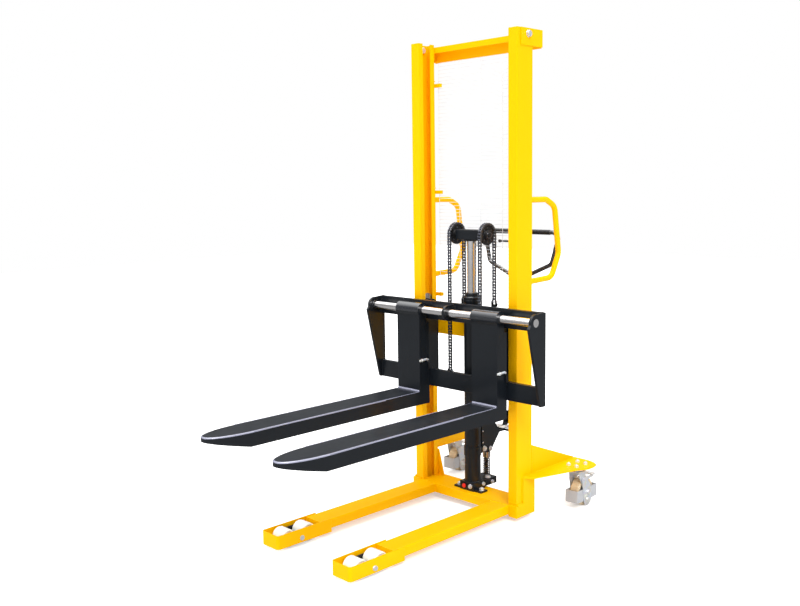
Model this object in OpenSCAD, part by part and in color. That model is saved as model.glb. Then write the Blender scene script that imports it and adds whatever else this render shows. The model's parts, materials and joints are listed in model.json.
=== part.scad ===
// Manual pallet stacker: a mast on straddle legs, a hydraulic lift cylinder worked by a pedal
// and tiller, and a carriage with two adjustable forks.
// X runs across the mast, the forks point along -Y and Z is up. The origin is on the floor,
// in the middle of the outline. Before at_datum(), Y is counted from the uprights' front faces.

/* [Mast] */
// Height of the mast
mast_h = 2080; // [2040:5:2160]
// Width over the outside of the uprights
mast_w = 607; // [600:1:620]
// Width of an upright's channel
upright_w = 48; // [46:1:54]
// Depth of an upright's channel, front to back
upright_d = 104.5; // [102:0.5:110]
// Wall of the uprights
upright_wall = 5; // [4:0.5:6]
// Width of the slot along the open side of an upright
mouth_w = 48; // [40:1:56]
// Gap between the uprights' feet and the floor
upright_z = 19; // [16:1:22]
// Depth of the beams behind the uprights
beam_d = 59.5; // [54:0.5:66]
// Sheet thickness of the beams
beam_wall = 4; // [3:0.5:6]
// Height of the top beam's rear flange
top_beam_h = 63.5; // [56:0.5:70]
// Height of the top beam's front lip
top_lip_h = 26.5; // [20:0.5:34]
// Distance from the mast's top down to the top beam
top_beam_drop = 10.5; // [6:0.5:16]
// Height of the plates on the ends of the top beam
end_plate_h = 70; // [64:1:80]
// Thickness of the plates on the ends of the top beam
end_plate_t = 4.5; // [3:0.5:8]
// Distance from the uprights' front to the end plates
end_plate_y = 21; // [14:1:30]
// Height of the mid beam above the floor
mid_beam_z = 757; // [752:1:762]
// Height of the mid beam's section
mid_beam_h = 63; // [58:1:66]
// Diameter of the mast's bolts
mast_bolt_d = 16; // [12:1:18]

/* [Guard] */
// Width of a wire of the guard mesh
wire_w = 2.6; // [2:0.2:4]
// Distance from the uprights' front to the guard mesh
guard_y = 122; // [120:1:126]
// Gap between the guard mesh and each upright
guard_side_gap = 3.5; // [2:0.5:8]
// Gap between the guard mesh and the top beam
guard_top_gap = 5; // [2:1:12]
// Gaps of the mesh from bottom to top
guard_rows = 73; // [40:1:73]
// Gaps of the mesh from side to side
guard_cols = 4; // [2:1:4]
// Height of a tab that holds the guard
tab_h = 16; // [12:1:24]
// Reach of a tab inwards from its upright
tab_reach = 29; // [24:1:36]

/* [Grab handles] */
// Diameter of the handle tube
grab_d = 25; // [20:1:30]
// Height of the upper end of a handle
grab_top_z = 1381; // [1360:1:1420]
// Height of the lower end of a handle
grab_low_z = 1033; // [1000:1:1060]
// Reach of a handle behind the uprights
grab_reach = 213.5; // [200:0.5:240]
// Radius of the handle's bends
grab_bend_r = 38; // [30:1:42]

/* [Base] */
// Height of the legs' undersides above the floor
leg_z = 27.5; // [24:0.5:32]
// Height of the legs' section
leg_h = 40.5; // [36:0.5:41]
// Width of a leg
leg_w = 99.5; // [96:0.5:100]
// Distance from the middle to a leg's inner side
leg_in_x = 168; // [168:0.5:170]
// Wall of the legs
leg_wall = 4; // [3:0.5:6]
// Reach of the cross beam in front of the uprights
cross_front = 11; // [8:0.5:16]
// Reach of the cross beam behind the uprights
cross_rear = 23.5; // [18:0.5:30]
// Length of a leg in front of the cross beam
leg_len = 635; // [600:5:650]
// Length of a toe box
toe_len = 280; // [276:1:290]
// Wall of the toe boxes
toe_wall = 4; // [4:0.5:4.5]
// Length of leg that the toe box's sides hold
toe_lap = 54; // [48:1:56]
// Height of the toe boxes' undersides above the floor
toe_z = 14.5; // [12:0.5:18]
// Height of the toe boxes' walls
toe_h = 56.5; // [52:0.5:57]
// Radius of the toe boxes' front corners
toe_corner_r = 14; // [8:1:34]
// Thickness of the shoe plates on the uprights
shoe_t = 8.5; // [6:0.5:10]
// Height of the shoe plates' tops above the floor
shoe_top_z = 185; // [182:1:190]
// Thickness of the gusset plates
gusset_t = 8; // [6:0.5:10]
// Height of the castor gussets above their plates
castor_gusset_h = 128; // [110:1:150]

/* [Load rollers] */
// Diameter of a load roller
load_roller_d = 74; // [72:0.5:75]
// Width of a load roller
load_roller_w = 68; // [62:1:70]
// Distance between the two rollers of a bogie
bogie_pitch = 102; // [98:1:106]
// Distance from a toe box's front to the bogie's pivot
bogie_inset = 123; // [120:1:128]
// Height of the bogie's pivot
bogie_pivot_z = 33; // [30:0.5:36]
// Diameter of the bogie's pivot bolt and axles
bogie_pin_d = 16; // [12:1:18]
// Thickness of a bogie's side plates
bogie_plate_t = 6; // [4:0.5:8]

/* [Castors] */
// Diameter of a castor wheel
castor_wheel_d = 127; // [120:1:132]
// Width of a castor wheel
castor_wheel_w = 45; // [38:1:48]
// Distance from the middle to a castor's swivel
castor_x = 373; // [370:1:378]
// Distance from the uprights' front to a castor's swivel
castor_y = 346; // [340:1:352]
// Trail of a castor wheel behind its swivel
castor_trail = 38; // [34:1:42]
// Angle by which the castors and their plates are turned
castor_turn = 3; // [0:1:8]
// Thickness of the castor plates
castor_plate_t = 8; // [6:0.5:10]
// Diameter of the castor mounting bolts
castor_bolt_d = 10; // [8:1:12]
// Distance between castor bolts along the plate
castor_bolt_l = 64; // [60:1:70]
// Distance between castor bolts across the plate
castor_bolt_w = 44; // [42:1:48]
// Height of the foot guard round a castor wheel
foot_guard_h = 56; // [50:1:64]

/* [Lift cylinder] */
// Distance from the uprights' front to the lift's axis
lift_y = 62; // [60:0.5:63]
// Outside diameter of the cylinder tube
tube_d = 73; // [70:1:74]
// Wall of the cylinder tube
tube_wall = 4; // [3:0.5:5]
// Height of the top of the cylinder head
head_top_z = 969; // [960:1:972]
// Height of the cylinder head
head_h = 40; // [36:1:50]
// Diameter of the cylinder head
head_d = 77; // [75:1:80]
// Diameter of the piston rod
rod_d = 42; // [38:1:45]
// Height of the piston
piston_h = 30; // [25:1:40]
// Travel of the piston rod above the pictured place
lift_up = 537.5; // [520:0.5:540]
// Travel of the piston rod below the pictured place
lift_down = 220; // [210:0.5:221]

/* [Chains] */
// Pitch of the lift chains
chain_pitch = 12.7; // [12.7:0.1:13]
// Teeth of a chain wheel
wheel_teeth = 24; // [22:1:25]
// Height of the chain wheels' axis in the pictured place
wheel_z = 1229; // [1226:1:1235]
// Distance from the middle to each chain
chain_x = 89; // [86:1:92]
// Width of a chain
chain_w = 18; // [16:0.5:20]
// Depth of a chain's plates
chain_t = 11.8; // [10:0.1:12]
// Thickness of a chain wheel between the chain's plates
wheel_t = 7; // [5:0.5:7.5]
// Diameter of the chain wheels' pin
wheel_pin_d = 20; // [18:1:24]
// Height of the crosshead bar
crosshead_h = 45; // [42:1:48]
// Depth of the crosshead bar
crosshead_d = 50; // [46:1:56]
// Height of the rear chain anchors' tops
rear_anchor_z = 942; // [936:1:944]
// Diameter of the chain anchor rods
anchor_rod_d = 12; // [10:1:14]

/* [Carriage] */
// Width over the carriage's side plates
carriage_w = 958; // [940:2:960]
// Thickness of the carriage's side plates
side_plate_t = 12; // [10:1:15]
// Distance from the uprights to the crossbars' rear faces
crossbar_gap = 33.5; // [30:0.5:36]
// Thickness of the crossbars
crossbar_t = 22.5; // [20:0.5:25]
// Height of the carriage's lower edge in the pictured place
carriage_z = 546; // [544:1:548]
// Height of the lower crossbar
lower_bar_h = 78; // [74:1:80]
// Height of the upper crossbar
upper_bar_h = 81; // [76:1:84]
// Height from the carriage's lower edge to its upper edge
carriage_h = 387; // [380:1:392]
// Diameter of the fork shaft
shaft_d = 35; // [32:0.5:36]
// Distance from the uprights' front to the fork shaft
shaft_front = 97.7; // [96:0.1:99]
// Height of the fork shaft above the carriage's lower edge
shaft_rise = 349.6; // [346:0.1:352]
// Thickness of the roller plates
roller_plate_t = 12; // [10:1:12]
// Gap between a roller plate and its upright
roller_plate_gap = 3.5; // [2.5:0.5:5]
// Diameter of the guide rollers' pins
roller_pin_d = 25; // [20:1:28]
// Height of the lower guide rollers above the carriage's lower edge
lower_roller_rise = 44; // [40:1:50]
// Height of the upper guide rollers above the carriage's lower edge
upper_roller_rise = 357; // [350:1:360]

/* [Forks] */
// Width of a fork
fork_w = 141; // [140:0.5:142]
// Distance from the middle to a fork's centre
fork_x = 225; // [224:0.5:226]
// Length of the forks in front of the shanks' rear faces
fork_len = 1155; // [1140:5:1160]
// Height of a fork's blade
blade_h = 60; // [58:1:62]
// Thickness of the blade's top plate
blade_top_t = 6; // [5:0.5:8]
// Thickness of the blade's side walls
blade_wall = 6; // [5:0.5:6]
// Distance from the carriage's lower edge down to the blades' tops
blade_drop = 21; // [19:1:22]
// Thickness of a fork at its tip
tip_t = 21; // [18:1:24]
// Length of the slope under a fork's tip
tip_slope = 170; // [150:5:180]
// Length of the rounded nose in plan
nose_len = 190; // [150:2:210]
// Depth of a fork's shank
shank_d = 62; // [58:1:64]
// Thickness of the shank's front plate
shank_t = 14; // [10:1:16]
// Gap between the shanks and the crossbars
shank_gap = 0.4; // [0.3:0.1:1]
// Wall of the sleeve round the fork shaft
sleeve_wall = 13.5; // [11:0.5:14]

/* [Pump] */
// Width over the ears of the pump's base flange
flange_w = 163; // [155:1:170]
// Depth of the pump's base flange
flange_d = 45; // [40:1:52]
// Thickness of the pump's base flange
flange_t = 8; // [6:0.5:10]
// Width of the pump block
pump_w = 82; // [78:1:86]
// Height of the pump block above its flange
pump_h = 30; // [26:1:36]
// Distance from the uprights' front to the pump block
pump_y = 20; // [16:1:24]
// Length of the pump block
pump_len = 162; // [158:1:168]
// Depth of the plunger's boss under the flange's level
pump_drop = 4; // [2:1:8]
// Distance from the uprights' front to the pump plunger
plunger_y = 160; // [158:1:162]
// Diameter of the pump plunger
plunger_d = 16; // [14:1:18]
// Height of the plunger's cap
plunger_top_z = 222; // [220:1:224]
// Mean diameter of the pump spring
spring_d = 30; // [28:0.5:34]
// Diameter of the pump spring's wire
spring_wire = 4.4; // [4:0.2:5]
// Curls of the pump spring
spring_curls = 9; // [7:1:10]

/* [Tiller] */
// Distance from the uprights' front to the lever's pivot
pivot_y = 114; // [112:0.5:116]
// Height of the lever's pivot
pivot_z = 248; // [246:0.5:252]
// Diameter of the lever's pivot and roller pins
pivot_d = 14; // [12:0.5:16]
// Width over the lever's cheeks
lever_w = 46; // [42:1:50]
// Thickness of the lever's cheeks
cheek_t = 7; // [5:0.5:8]
// Width of the foot pedal
pedal_w = 116; // [100:2:130]
// Depth of the foot pedal
pedal_d = 62; // [50:1:70]
// Height of the foot pedal's tread
pedal_z = 312; // [310:1:314]
// Diameter of the tiller tube
tiller_d = 32; // [28:1:36]
// Height of the tiller loop's grip
grip_z = 1227; // [1200:1:1250]
// Lean of the tiller backwards
tiller_lean = 5; // [4:0.5:6]
// Half width of the tiller loop at its grip
loop_half_w = 215; // [200:1:220]
// Diameter of the tiller loop's tube
loop_d = 20; // [16:1:22]
// Height of the tiller loop
loop_h = 222; // [205:1:235]

/* [Fits] */
// Gap round a pin that turns in its bore
pin_gap = 0.05; // [0.02:0.01:0.1]
// Gap round a bolt in its hole
bolt_gap = 0.3; // [0.2:0.1:0.6]
// Gap between a part and what it slides or rolls on
slide_gap = 0.4; // [0.3:0.1:0.6]

/* [Hidden] */
$fn = 48;
eps = 0.01;
grow = 1;

// Mast
outer_x = mast_w / 2;
inner_x = outer_x - upright_w;
section_y = upright_d / 2;
beam_rear = upright_d + beam_d;
end_bolt_y = 69;
end_bolt_drop = 23;
bolt_head_w = mast_bolt_d * 1.5;
bolt_head_h = mast_bolt_d * 0.6;
mid_beam_top = mid_beam_z + mid_beam_h;
top_beam_top = mast_h - top_beam_drop;
guard_low_z = mid_beam_top;
guard_high_z = top_beam_top - top_beam_h - guard_top_gap;
guard_half_w = inner_x - guard_side_gap;
tab_levels = [0.103, 0.505, 0.914];
tab_seat = 12;

// Base
leg_out_x = leg_in_x + leg_w;
leg_x = leg_in_x + leg_w / 2;
leg_end = -cross_front - leg_len;
leg_tip = leg_end - toe_lap;
toe_front = leg_end - toe_len;
leg_top = leg_z + leg_h;
gusset_lap = 12;
toe_half_w = leg_w / 2 + toe_wall;
bogie_y = toe_front + bogie_inset;
load_roller_z = load_roller_d / 2;
bogie_plate_r = 20;
bogie_side_gap = 1;
bogie_inner = load_roller_w / 2 + bogie_side_gap;
bogie_outer = bogie_inner + bogie_plate_t;
castor_plate_z = shoe_top_z;
castor_plate_top = castor_plate_z + castor_plate_t;
shoe_rear = upright_d + 11.5;
shoe_step_y = 37;
shoe_step_z = 78;
castor_plate_x = 388;

// Castors
castor_wheel_z = castor_wheel_d / 2;
castor_top_t = 5;
castor_race_h = 12;
castor_race_r = 30;
yoke_gap = 2;
yoke_t = 4;
yoke_half_w = castor_wheel_w / 2 + yoke_gap + yoke_t;
yoke_top_z = castor_plate_z - castor_top_t - castor_race_h - slide_gap;
castor_axle_d = 12;
foot_guard_t = 3;
foot_guard_gap = 16;
foot_guard_z = 27;
foot_guard_half_l = castor_wheel_d / 2 + foot_guard_gap + foot_guard_t;
kingpin_d = 12;
brake_pivot = [14, castor_wheel_d + 1.5];
brake_pin_d = 8;
castor_rear = castor_y + castor_trail + foot_guard_half_l;

// Lift
chain_r = chain_pitch / 2 / sin(180 / wheel_teeth);
front_run_y = lift_y - chain_r;
rear_run_y = lift_y + chain_r;
crosshead_z = wheel_z - 23;
crosshead_half_w = chain_x - 15;
wheel_hub_w = 24;
wheel_hub_r = 22;
cylinder_z = leg_z + leg_h + flange_t;
cylinder_floor = 10;
head_cap_d = 56;
head_cap_h = 15;
rod_low_z = head_top_z - head_h - lift_up - piston_h - 12;
anchor_block_h = 25;
clevis_h = 31;
clevis_w = 26;
clevis_pin_d = 6;
roller_link_d = 7.9;
front_anchor_z = carriage_z + lower_bar_h - 6;

// Carriage
carriage_x = carriage_w / 2;
crossbar_rear = -crossbar_gap;
crossbar_front = crossbar_rear - crossbar_t;
carriage_top = carriage_z + carriage_h;
shaft_y = -shaft_front;
shaft_z = carriage_z + shaft_rise;
side_arc_r = 35;
side_nose = [-143, 329];
side_foot = [-67, 9];
lug_r = 34;
lug_t = 12;
roller_d = upright_d - 2 * upright_wall - 2 * slide_gap;
roller_w = upright_w - 2 * upright_wall - 7;
roller_x = outer_x - upright_wall - (upright_w - 2 * upright_wall) / 2;
plate_out_x = inner_x - roller_plate_gap;
plate_in_x = plate_out_x - roller_plate_t;
roller_plate_rear = 97;

// Forks
shank_rear = crossbar_front - shank_gap;
shank_front = shank_rear - shank_d;
fork_tip = shank_rear - fork_len;
blade_top_z = carriage_z - blade_drop;
blade_low_z = blade_top_z - blade_h;
knee_y = fork_tip + tip_slope;
sleeve_r = shaft_d / 2 + sleeve_wall;
cavity_front = knee_y + 14;
lock_pin_d = 10;
lock_pin_z = carriage_z + 124;

// Pump and tiller
pump_z = leg_z + leg_h + flange_t;
pump_top = pump_z + pump_h;
spring_seat_gap = 0.3;
spring_steps = 8;
spring_low_z = pump_top + spring_seat_gap + spring_wire;
cap_t = 28;
cap_r = spring_d / 2 + spring_wire / 2 + 1;
spring_high_z = plunger_top_z - cap_t - spring_seat_gap - spring_wire;
spring_curl = [for (i = [0:spring_curls * spring_steps]) [
    spring_d / 2 * cos(360 * i / spring_steps), spring_d / 2 * sin(360 * i / spring_steps),
    spring_low_z + (spring_high_z - spring_low_z) * i / (spring_curls * spring_steps)]];
spring_clear = min([for (i = [0:len(spring_curl) - spring_steps - 1],
    j = [spring_steps - 1:spring_steps + 1]) if (i + j < len(spring_curl))
    norm(spring_curl[i + j] - spring_curl[i]) - spring_wire]);
roller_pin_dy = 46;
push_roller_r = 16;
push_gap = 0.4;
push_roller_z = plunger_top_z + push_gap + push_roller_r;
clamp_t = 3;
clamp_h = 44;
flange_y = 25;
plunger_boss_r = 15;
lever_eye_r = 11.5;
pedal_y = 262;
pedal_t = 9;
tiller_foot = [340, 352];
tiller_socket = 30;
tiller_wall = 3;
tiller_len = (grip_z - tiller_foot[1]) / cos(tiller_lean);
release_z = tiller_len - 48;
release_hub = 12;

// Datum: the middle of the outline between the fork tips and the castors
datum_y = -(fork_tip + castor_rear) / 2;

echo("least gap between the pump spring's curls", spring_clear);

module at_datum() {
    translate([0, datum_y, 0]) children();
}

// Both sides of the mast
module pair() {
    for (s = [-1, 1]) scale_side(s) children();
}

module scale_side(s) {
    if (s < 0) mirror([1, 0, 0]) children();
    else children();
}

// A box from its lowest corner to its highest
module block(low, high) {
    translate(low) cube(high - low);
}

// A round bar along X, between two values of X
module bar_x(x0, x1, y, z, d, fn = 48) {
    translate([x0, y, z]) rotate([0, 90, 0]) cylinder(d = d, h = x1 - x0, $fn = fn);
}

// A plate drawn in Y and Z, between two values of X
module plate_x(x0, x1) {
    translate([x0, 0, 0]) rotate([90, 0, 90]) linear_extrude(x1 - x0) children();
}

// A hexagon head along X
module hex_x(x0, x1, y, z, across) {
    translate([x0, y, z]) rotate([0, 90, 0]) cylinder(d = across / cos(30), h = x1 - x0, $fn = 6);
}

// A hexagon head or nut along Z
module hex_z(x, y, z0, z1, across) {
    translate([x, y, z0]) cylinder(d = across / cos(30), h = z1 - z0, $fn = 6);
}

function unit(v) = v / norm(v);

// A path with round bends of radius r at its inner corners
function bend(a, b, c, r, n) =
    let (u = unit(a - b), v = unit(c - b))
    let (half = acos(max(-1, min(1, u * v))) / 2)
    half > 89.9 ? [b] :
    let (reach = min(r / tan(half), 0.48 * norm(a - b), 0.48 * norm(c - b)))
    let (rr = reach * tan(half), o = b + unit(u + v) * rr / sin(half))
    let (e1 = unit(b + u * reach - o), side = unit(b + v * reach - o))
    let (e2 = unit(side - e1 * (side * e1)), sweep = 180 - 2 * half)
    [for (i = [0:n]) o + rr * (e1 * cos(sweep * i / n) + e2 * sin(sweep * i / n))];

function bent(p, r, n = 4) = [
    p[0],
    for (i = [1:len(p) - 2]) each bend(p[i - 1], p[i], p[i + 1], r, n),
    p[len(p) - 1]
];

function tangent(p, i) = let (last = len(p) - 1)
    i == 0 ? unit(p[1] - p[0]) :
    i == last ? unit(p[last] - p[last - 1]) :
    unit(unit(p[i + 1] - p[i]) + unit(p[i] - p[i - 1]));

// A tube of triangles along a path. It lies square to the direction flat, or has a list of
// such directions, one for each point.
module sweep_tube(p, d, flat, sides = 10) {
    rings = [for (i = [0:len(p) - 1])
        let (side = is_list(flat[0]) ? flat[i] : flat)
        let (t = tangent(p, i), a = unit(cross(t, side)), b = cross(a, t))
        for (k = [0:sides - 1])
            p[i] + d / 2 * (a * cos(360 * k / sides) + b * sin(360 * k / sides))];
    last = (len(p) - 1) * sides;
    walls = [for (i = [0:len(p) - 2], k = [0:sides - 1])
        let (j = (k + 1) % sides, r = i * sides)
        each [[r + k, r + j, r + sides + j], [r + k, r + sides + j, r + sides + k]]];
    ends = [for (k = [1:sides - 2])
        each [[0, k + 1, k], [last, last + k, last + k + 1]]];
    polyhedron(points = rings, faces = concat(walls, ends));
}

// Mast
module upright_channel() {
    translate([0, 0, upright_z]) linear_extrude(mast_h - upright_z) difference() {
        translate([inner_x, 0]) square([upright_w, upright_d]);
        translate([inner_x + upright_wall, upright_wall])
            square([upright_w - 2 * upright_wall, upright_d - 2 * upright_wall]);
        translate([inner_x - grow, section_y - mouth_w / 2])
            square([upright_wall + 2 * grow, mouth_w]);
    }
}

module upright_with_holes() {
    difference() {
        upright_channel();
        bar_x(outer_x - upright_wall - grow, outer_x + grow, end_bolt_y,
            mast_h - end_bolt_drop, mast_bolt_d + 2 * bolt_gap);
    }
}

module left_upright() {
    color("gold") at_datum() mirror([1, 0, 0]) upright_with_holes();
}

module right_upright() {
    color("gold") at_datum() upright_with_holes();
}

module top_beam() {
    color("gold") at_datum() plate_x(-outer_x, outer_x)
        translate([upright_d, top_beam_top - top_beam_h]) difference() {
            square([beam_d, top_beam_h]);
            translate([beam_wall, -grow])
                square([beam_d - 2 * beam_wall, top_beam_h - beam_wall + grow]);
            translate([-grow, -grow])
                square([beam_wall + 2 * grow, top_beam_h - top_lip_h + grow]);
        }
}

module end_plates() {
    color("gold") at_datum() pair() difference() {
        block([outer_x, end_plate_y, mast_h - end_plate_h],
            [outer_x + end_plate_t, beam_rear, mast_h]);
        bar_x(outer_x - grow, outer_x + end_plate_t + grow, end_bolt_y,
            mast_h - end_bolt_drop, mast_bolt_d + 2 * bolt_gap);
    }
}

module mid_beam() {
    color("orange") at_datum() {
        difference() {
            block([-outer_x, upright_d, mid_beam_z], [outer_x, beam_rear, mid_beam_top]);
            block([-outer_x - grow, upright_d + beam_wall, mid_beam_z + beam_wall],
                [outer_x + grow, beam_rear - beam_wall, mid_beam_top - beam_wall]);
        }
        pair() difference() {
            block([chain_x - clevis_w / 2, rear_run_y - clevis_w / 2, mid_beam_top],
                [chain_x + clevis_w / 2, guard_y - slide_gap, mid_beam_top + anchor_block_h]);
            translate([chain_x, rear_run_y, mid_beam_top + slide_gap])
                cylinder(d = anchor_rod_d + 2 * pin_gap, h = anchor_block_h + grow);
        }
    }
}

// Base
module base_beam() {
    color("gold") at_datum() {
        difference() {
            block([-inner_x, -cross_front, leg_z], [inner_x, upright_d + cross_rear, leg_z + leg_h]);
            block([-inner_x - grow, -cross_front + leg_wall, leg_z - grow],
                [inner_x + grow, upright_d + cross_rear - leg_wall, leg_z + leg_h - leg_wall]);
        }
        pair() {
            block([inner_x, -cross_front, leg_z], [leg_out_x, 0, leg_z + leg_h]);
            block([leg_out_x, -cross_front, upright_z], [outer_x + shoe_t, 0, leg_z + leg_h + 4]);
        }
    }
}

module legs() {
    color("gold") at_datum() pair() difference() {
        block([leg_in_x, leg_tip, leg_z], [leg_out_x, -cross_front, leg_z + leg_h]);
        block([leg_in_x + leg_wall, leg_tip + leg_wall, leg_z + leg_wall],
            [leg_out_x - leg_wall, -cross_front + grow, leg_z + leg_h - leg_wall]);
    }
}

// The outline of a toe box, smaller by inset but longer by tail
module toe_outline(inset, tail) {
    r = toe_corner_r - inset;
    w = toe_half_w - inset;
    front = toe_front + inset;
    difference() {
        translate([-w, front]) square([2 * w, leg_end + tail - front]);
        for (s = [-1, 1]) difference() {
            translate([s > 0 ? w - r : -w - grow, front - grow]) square([r + grow, r + grow]);
            translate([s * (w - r), front + r]) circle(r);
        }
    }
}

module toe_boxes() {
    color("gold") at_datum() pair() translate([leg_x, 0, 0]) difference() {
        translate([0, 0, toe_z]) linear_extrude(toe_h) toe_outline(0, 0);
        translate([0, 0, toe_z - grow]) linear_extrude(toe_h + 2 * grow)
            toe_outline(toe_wall, grow);
        bar_x(-toe_half_w - grow, toe_half_w + grow, bogie_y, bogie_pivot_z,
            bogie_pin_d + 2 * pin_gap);
    }
}

module frame_gussets() {
    color("gold") at_datum() pair() {
        translate([0, upright_d + gusset_t, 0]) rotate([90, 0, 0]) linear_extrude(gusset_t)
            polygon([[inner_x + gusset_lap, leg_top], [inner_x + gusset_lap, leg_top + 124],
                [inner_x, leg_top + 124], [inner_x - 33, leg_top]]);
        plate_x(outer_x - gusset_t, outer_x) polygon([
            [upright_d, castor_plate_top], [castor_y + 74, castor_plate_top],
            [castor_y + 74, castor_plate_top + 7],
            [upright_d, castor_plate_top + castor_gusset_h]]);
    }
}

// The castor plate's outline, from the upright's side to behind the castor
function castor_outline() = [
    [outer_x, shoe_step_y], [castor_plate_x - 40, 68], [castor_plate_x + 7, castor_y - 119],
    [castor_plate_x + 22, castor_y - 61], [castor_plate_x + 51, castor_y - 12],
    [castor_plate_x + 53, castor_y + 28], [castor_plate_x + 44, castor_y + 64],
    [castor_plate_x + 14, castor_y + 84], [castor_plate_x - 20, castor_y + 92],
    [outer_x - gusset_t, castor_y + 92], [outer_x - gusset_t, upright_d], [outer_x, upright_d]
];

module castor_bolt_places() {
    translate([castor_x, castor_y, 0]) rotate(-castor_turn)
        for (i = [-1, 1], j = [-1, 1])
            translate([i * castor_bolt_w / 2, j * castor_bolt_l / 2, 0]) children();
}

module castor_plates() {
    color("gold") at_datum() pair() {
        difference() {
            translate([0, 0, castor_plate_z]) linear_extrude(castor_plate_t)
                polygon(castor_outline());
            castor_bolt_places() translate([0, 0, castor_plate_z - grow])
                cylinder(d = castor_bolt_d + 2 * bolt_gap, h = castor_plate_t + 2 * grow);
        }
        plate_x(outer_x, outer_x + shoe_t) polygon([[0, upright_z], [shoe_rear, upright_z],
            [shoe_rear, castor_plate_z], [shoe_step_y, castor_plate_z],
            [shoe_step_y, shoe_step_z], [0, shoe_step_z]]);
    }
}

// All bolts that stay with the frame: mast top, castor plates and bogie pivots
module frame_bolts() {
    color("silver") at_datum() {
        pair() {
            z = mast_h - end_bolt_drop;
            bar_x(outer_x - upright_wall, outer_x + end_plate_t, end_bolt_y, z, mast_bolt_d);
            hex_x(outer_x + end_plate_t, outer_x + end_plate_t + bolt_head_h, end_bolt_y, z,
                bolt_head_w);
            hex_x(outer_x - upright_wall - bolt_head_h, outer_x - upright_wall, end_bolt_y, z,
                bolt_head_w);
            castor_bolt_places() {
                translate([0, 0, castor_plate_z - castor_top_t])
                    cylinder(d = castor_bolt_d, h = castor_plate_t + castor_top_t);
                hex_z(0, 0, castor_plate_top, castor_plate_top + 6, castor_bolt_d * 1.6);
                hex_z(0, 0, castor_plate_z - castor_top_t - 6, castor_plate_z - castor_top_t,
                    castor_bolt_d * 1.6);
            }
            translate([leg_x, 0, 0]) {
                bar_x(-toe_half_w, toe_half_w, bogie_y, bogie_pivot_z, bogie_pin_d);
                hex_x(toe_half_w, toe_half_w + 7.5, bogie_y, bogie_pivot_z, bogie_pin_d * 1.5);
                hex_x(-toe_half_w - 2.5, -toe_half_w, bogie_y, bogie_pivot_z, bogie_pin_d * 1.5);
            }
        }
        bar_x(-lever_w / 2 - 3, lever_w / 2 + 3, pivot_y, pivot_z, pivot_d);
        pair() hex_x(lever_w / 2 + 3, lever_w / 2 + 9, pivot_y, pivot_z, pivot_d * 1.5);
    }
}

// Guard
module guard_mesh() {
    gap_x = (2 * guard_half_w - wire_w) / guard_cols;
    gap_z = (guard_high_z - guard_low_z - wire_w) / guard_rows;
    outline = [[-guard_half_w, guard_low_z], [guard_half_w, guard_low_z],
        [guard_half_w, guard_high_z], [-guard_half_w, guard_high_z]];
    holes = [for (i = [0:guard_cols - 1], k = [0:guard_rows - 1])
        let (x0 = -guard_half_w + wire_w + i * gap_x, z0 = guard_low_z + wire_w + k * gap_z)
        let (x1 = x0 + gap_x - wire_w, z1 = z0 + gap_z - wire_w)
        each [[x0, z0], [x0, z1], [x1, z1], [x1, z0]]];
    count = guard_cols * guard_rows;
    color("whitesmoke") at_datum() translate([0, guard_y + wire_w, 0]) rotate([90, 0, 0])
        linear_extrude(wire_w) polygon(concat(outline, holes), concat([[0, 1, 2, 3]],
            [for (n = [1:count]) [for (k = [0:3]) 4 * n + k]]));
}

module guard_tabs() {
    color("gold") at_datum() pair() for (level = tab_levels)
        translate([0, 0, guard_low_z + (guard_high_z - guard_low_z) * level - tab_h / 2])
            block([inner_x - tab_reach, upright_d, 0], [inner_x + tab_seat, guard_y, tab_h]);
}

module grab_handles() {
    x = outer_x - grab_d / 2 - 7.5;
    rear = upright_d + grab_reach;
    path = [[x, upright_d, grab_top_z], [x, rear - 93, grab_top_z], [x, rear - 31, grab_top_z - 31],
        [x, rear, grab_low_z + 108], [x, rear - 52, grab_low_z + 7],
        [x, upright_d + 6, grab_low_z], [x, upright_d, grab_low_z]];
    color("gold") at_datum() pair() sweep_tube(bent(path, grab_bend_r), grab_d, [1, 0, 0], 12);
}

// Lift cylinder and crosshead
module cylinder_tube() {
    color("dimgray") at_datum() translate([0, lift_y, 0]) difference() {
        translate([0, 0, cylinder_z]) cylinder(d = tube_d, h = head_top_z - head_h - cylinder_z);
        translate([0, 0, cylinder_z + cylinder_floor])
            cylinder(d = tube_d - 2 * tube_wall, h = head_top_z);
    }
}

module cylinder_head() {
    color("dimgray") at_datum() translate([0, lift_y, head_top_z - head_h]) difference() {
        union() {
            cylinder(d = head_d, h = head_h - head_cap_h);
            cylinder(d = head_cap_d, h = head_h);
        }
        translate([0, 0, -grow]) cylinder(d = rod_d + 2 * pin_gap, h = head_h + 2 * grow);
    }
}

module piston_rod() {
    color("silver") at_datum() translate([0, lift_y, rod_low_z + piston_h])
        cylinder(d = rod_d, h = crosshead_z - rod_low_z - piston_h);
}

module piston() {
    color("gray") at_datum() translate([0, lift_y, rod_low_z])
        cylinder(d = tube_d - 2 * tube_wall - 2 * pin_gap, h = piston_h);
}

module crosshead() {
    color("dimgray") at_datum() {
        difference() {
            block([-crosshead_half_w, lift_y - crosshead_d / 2, crosshead_z],
                [crosshead_half_w, lift_y + crosshead_d / 2, crosshead_z + crosshead_h]);
            bar_x(-crosshead_half_w - grow, crosshead_half_w + grow, lift_y, wheel_z, wheel_pin_d);
        }
        bar_x(-chain_x - 18, chain_x + 18, lift_y, wheel_z, wheel_pin_d);
        pair() bar_x(chain_x + wheel_hub_w / 2 + slide_gap, chain_x + wheel_hub_w / 2 + 5, lift_y,
            wheel_z, wheel_pin_d + 12);
    }
}

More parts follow.
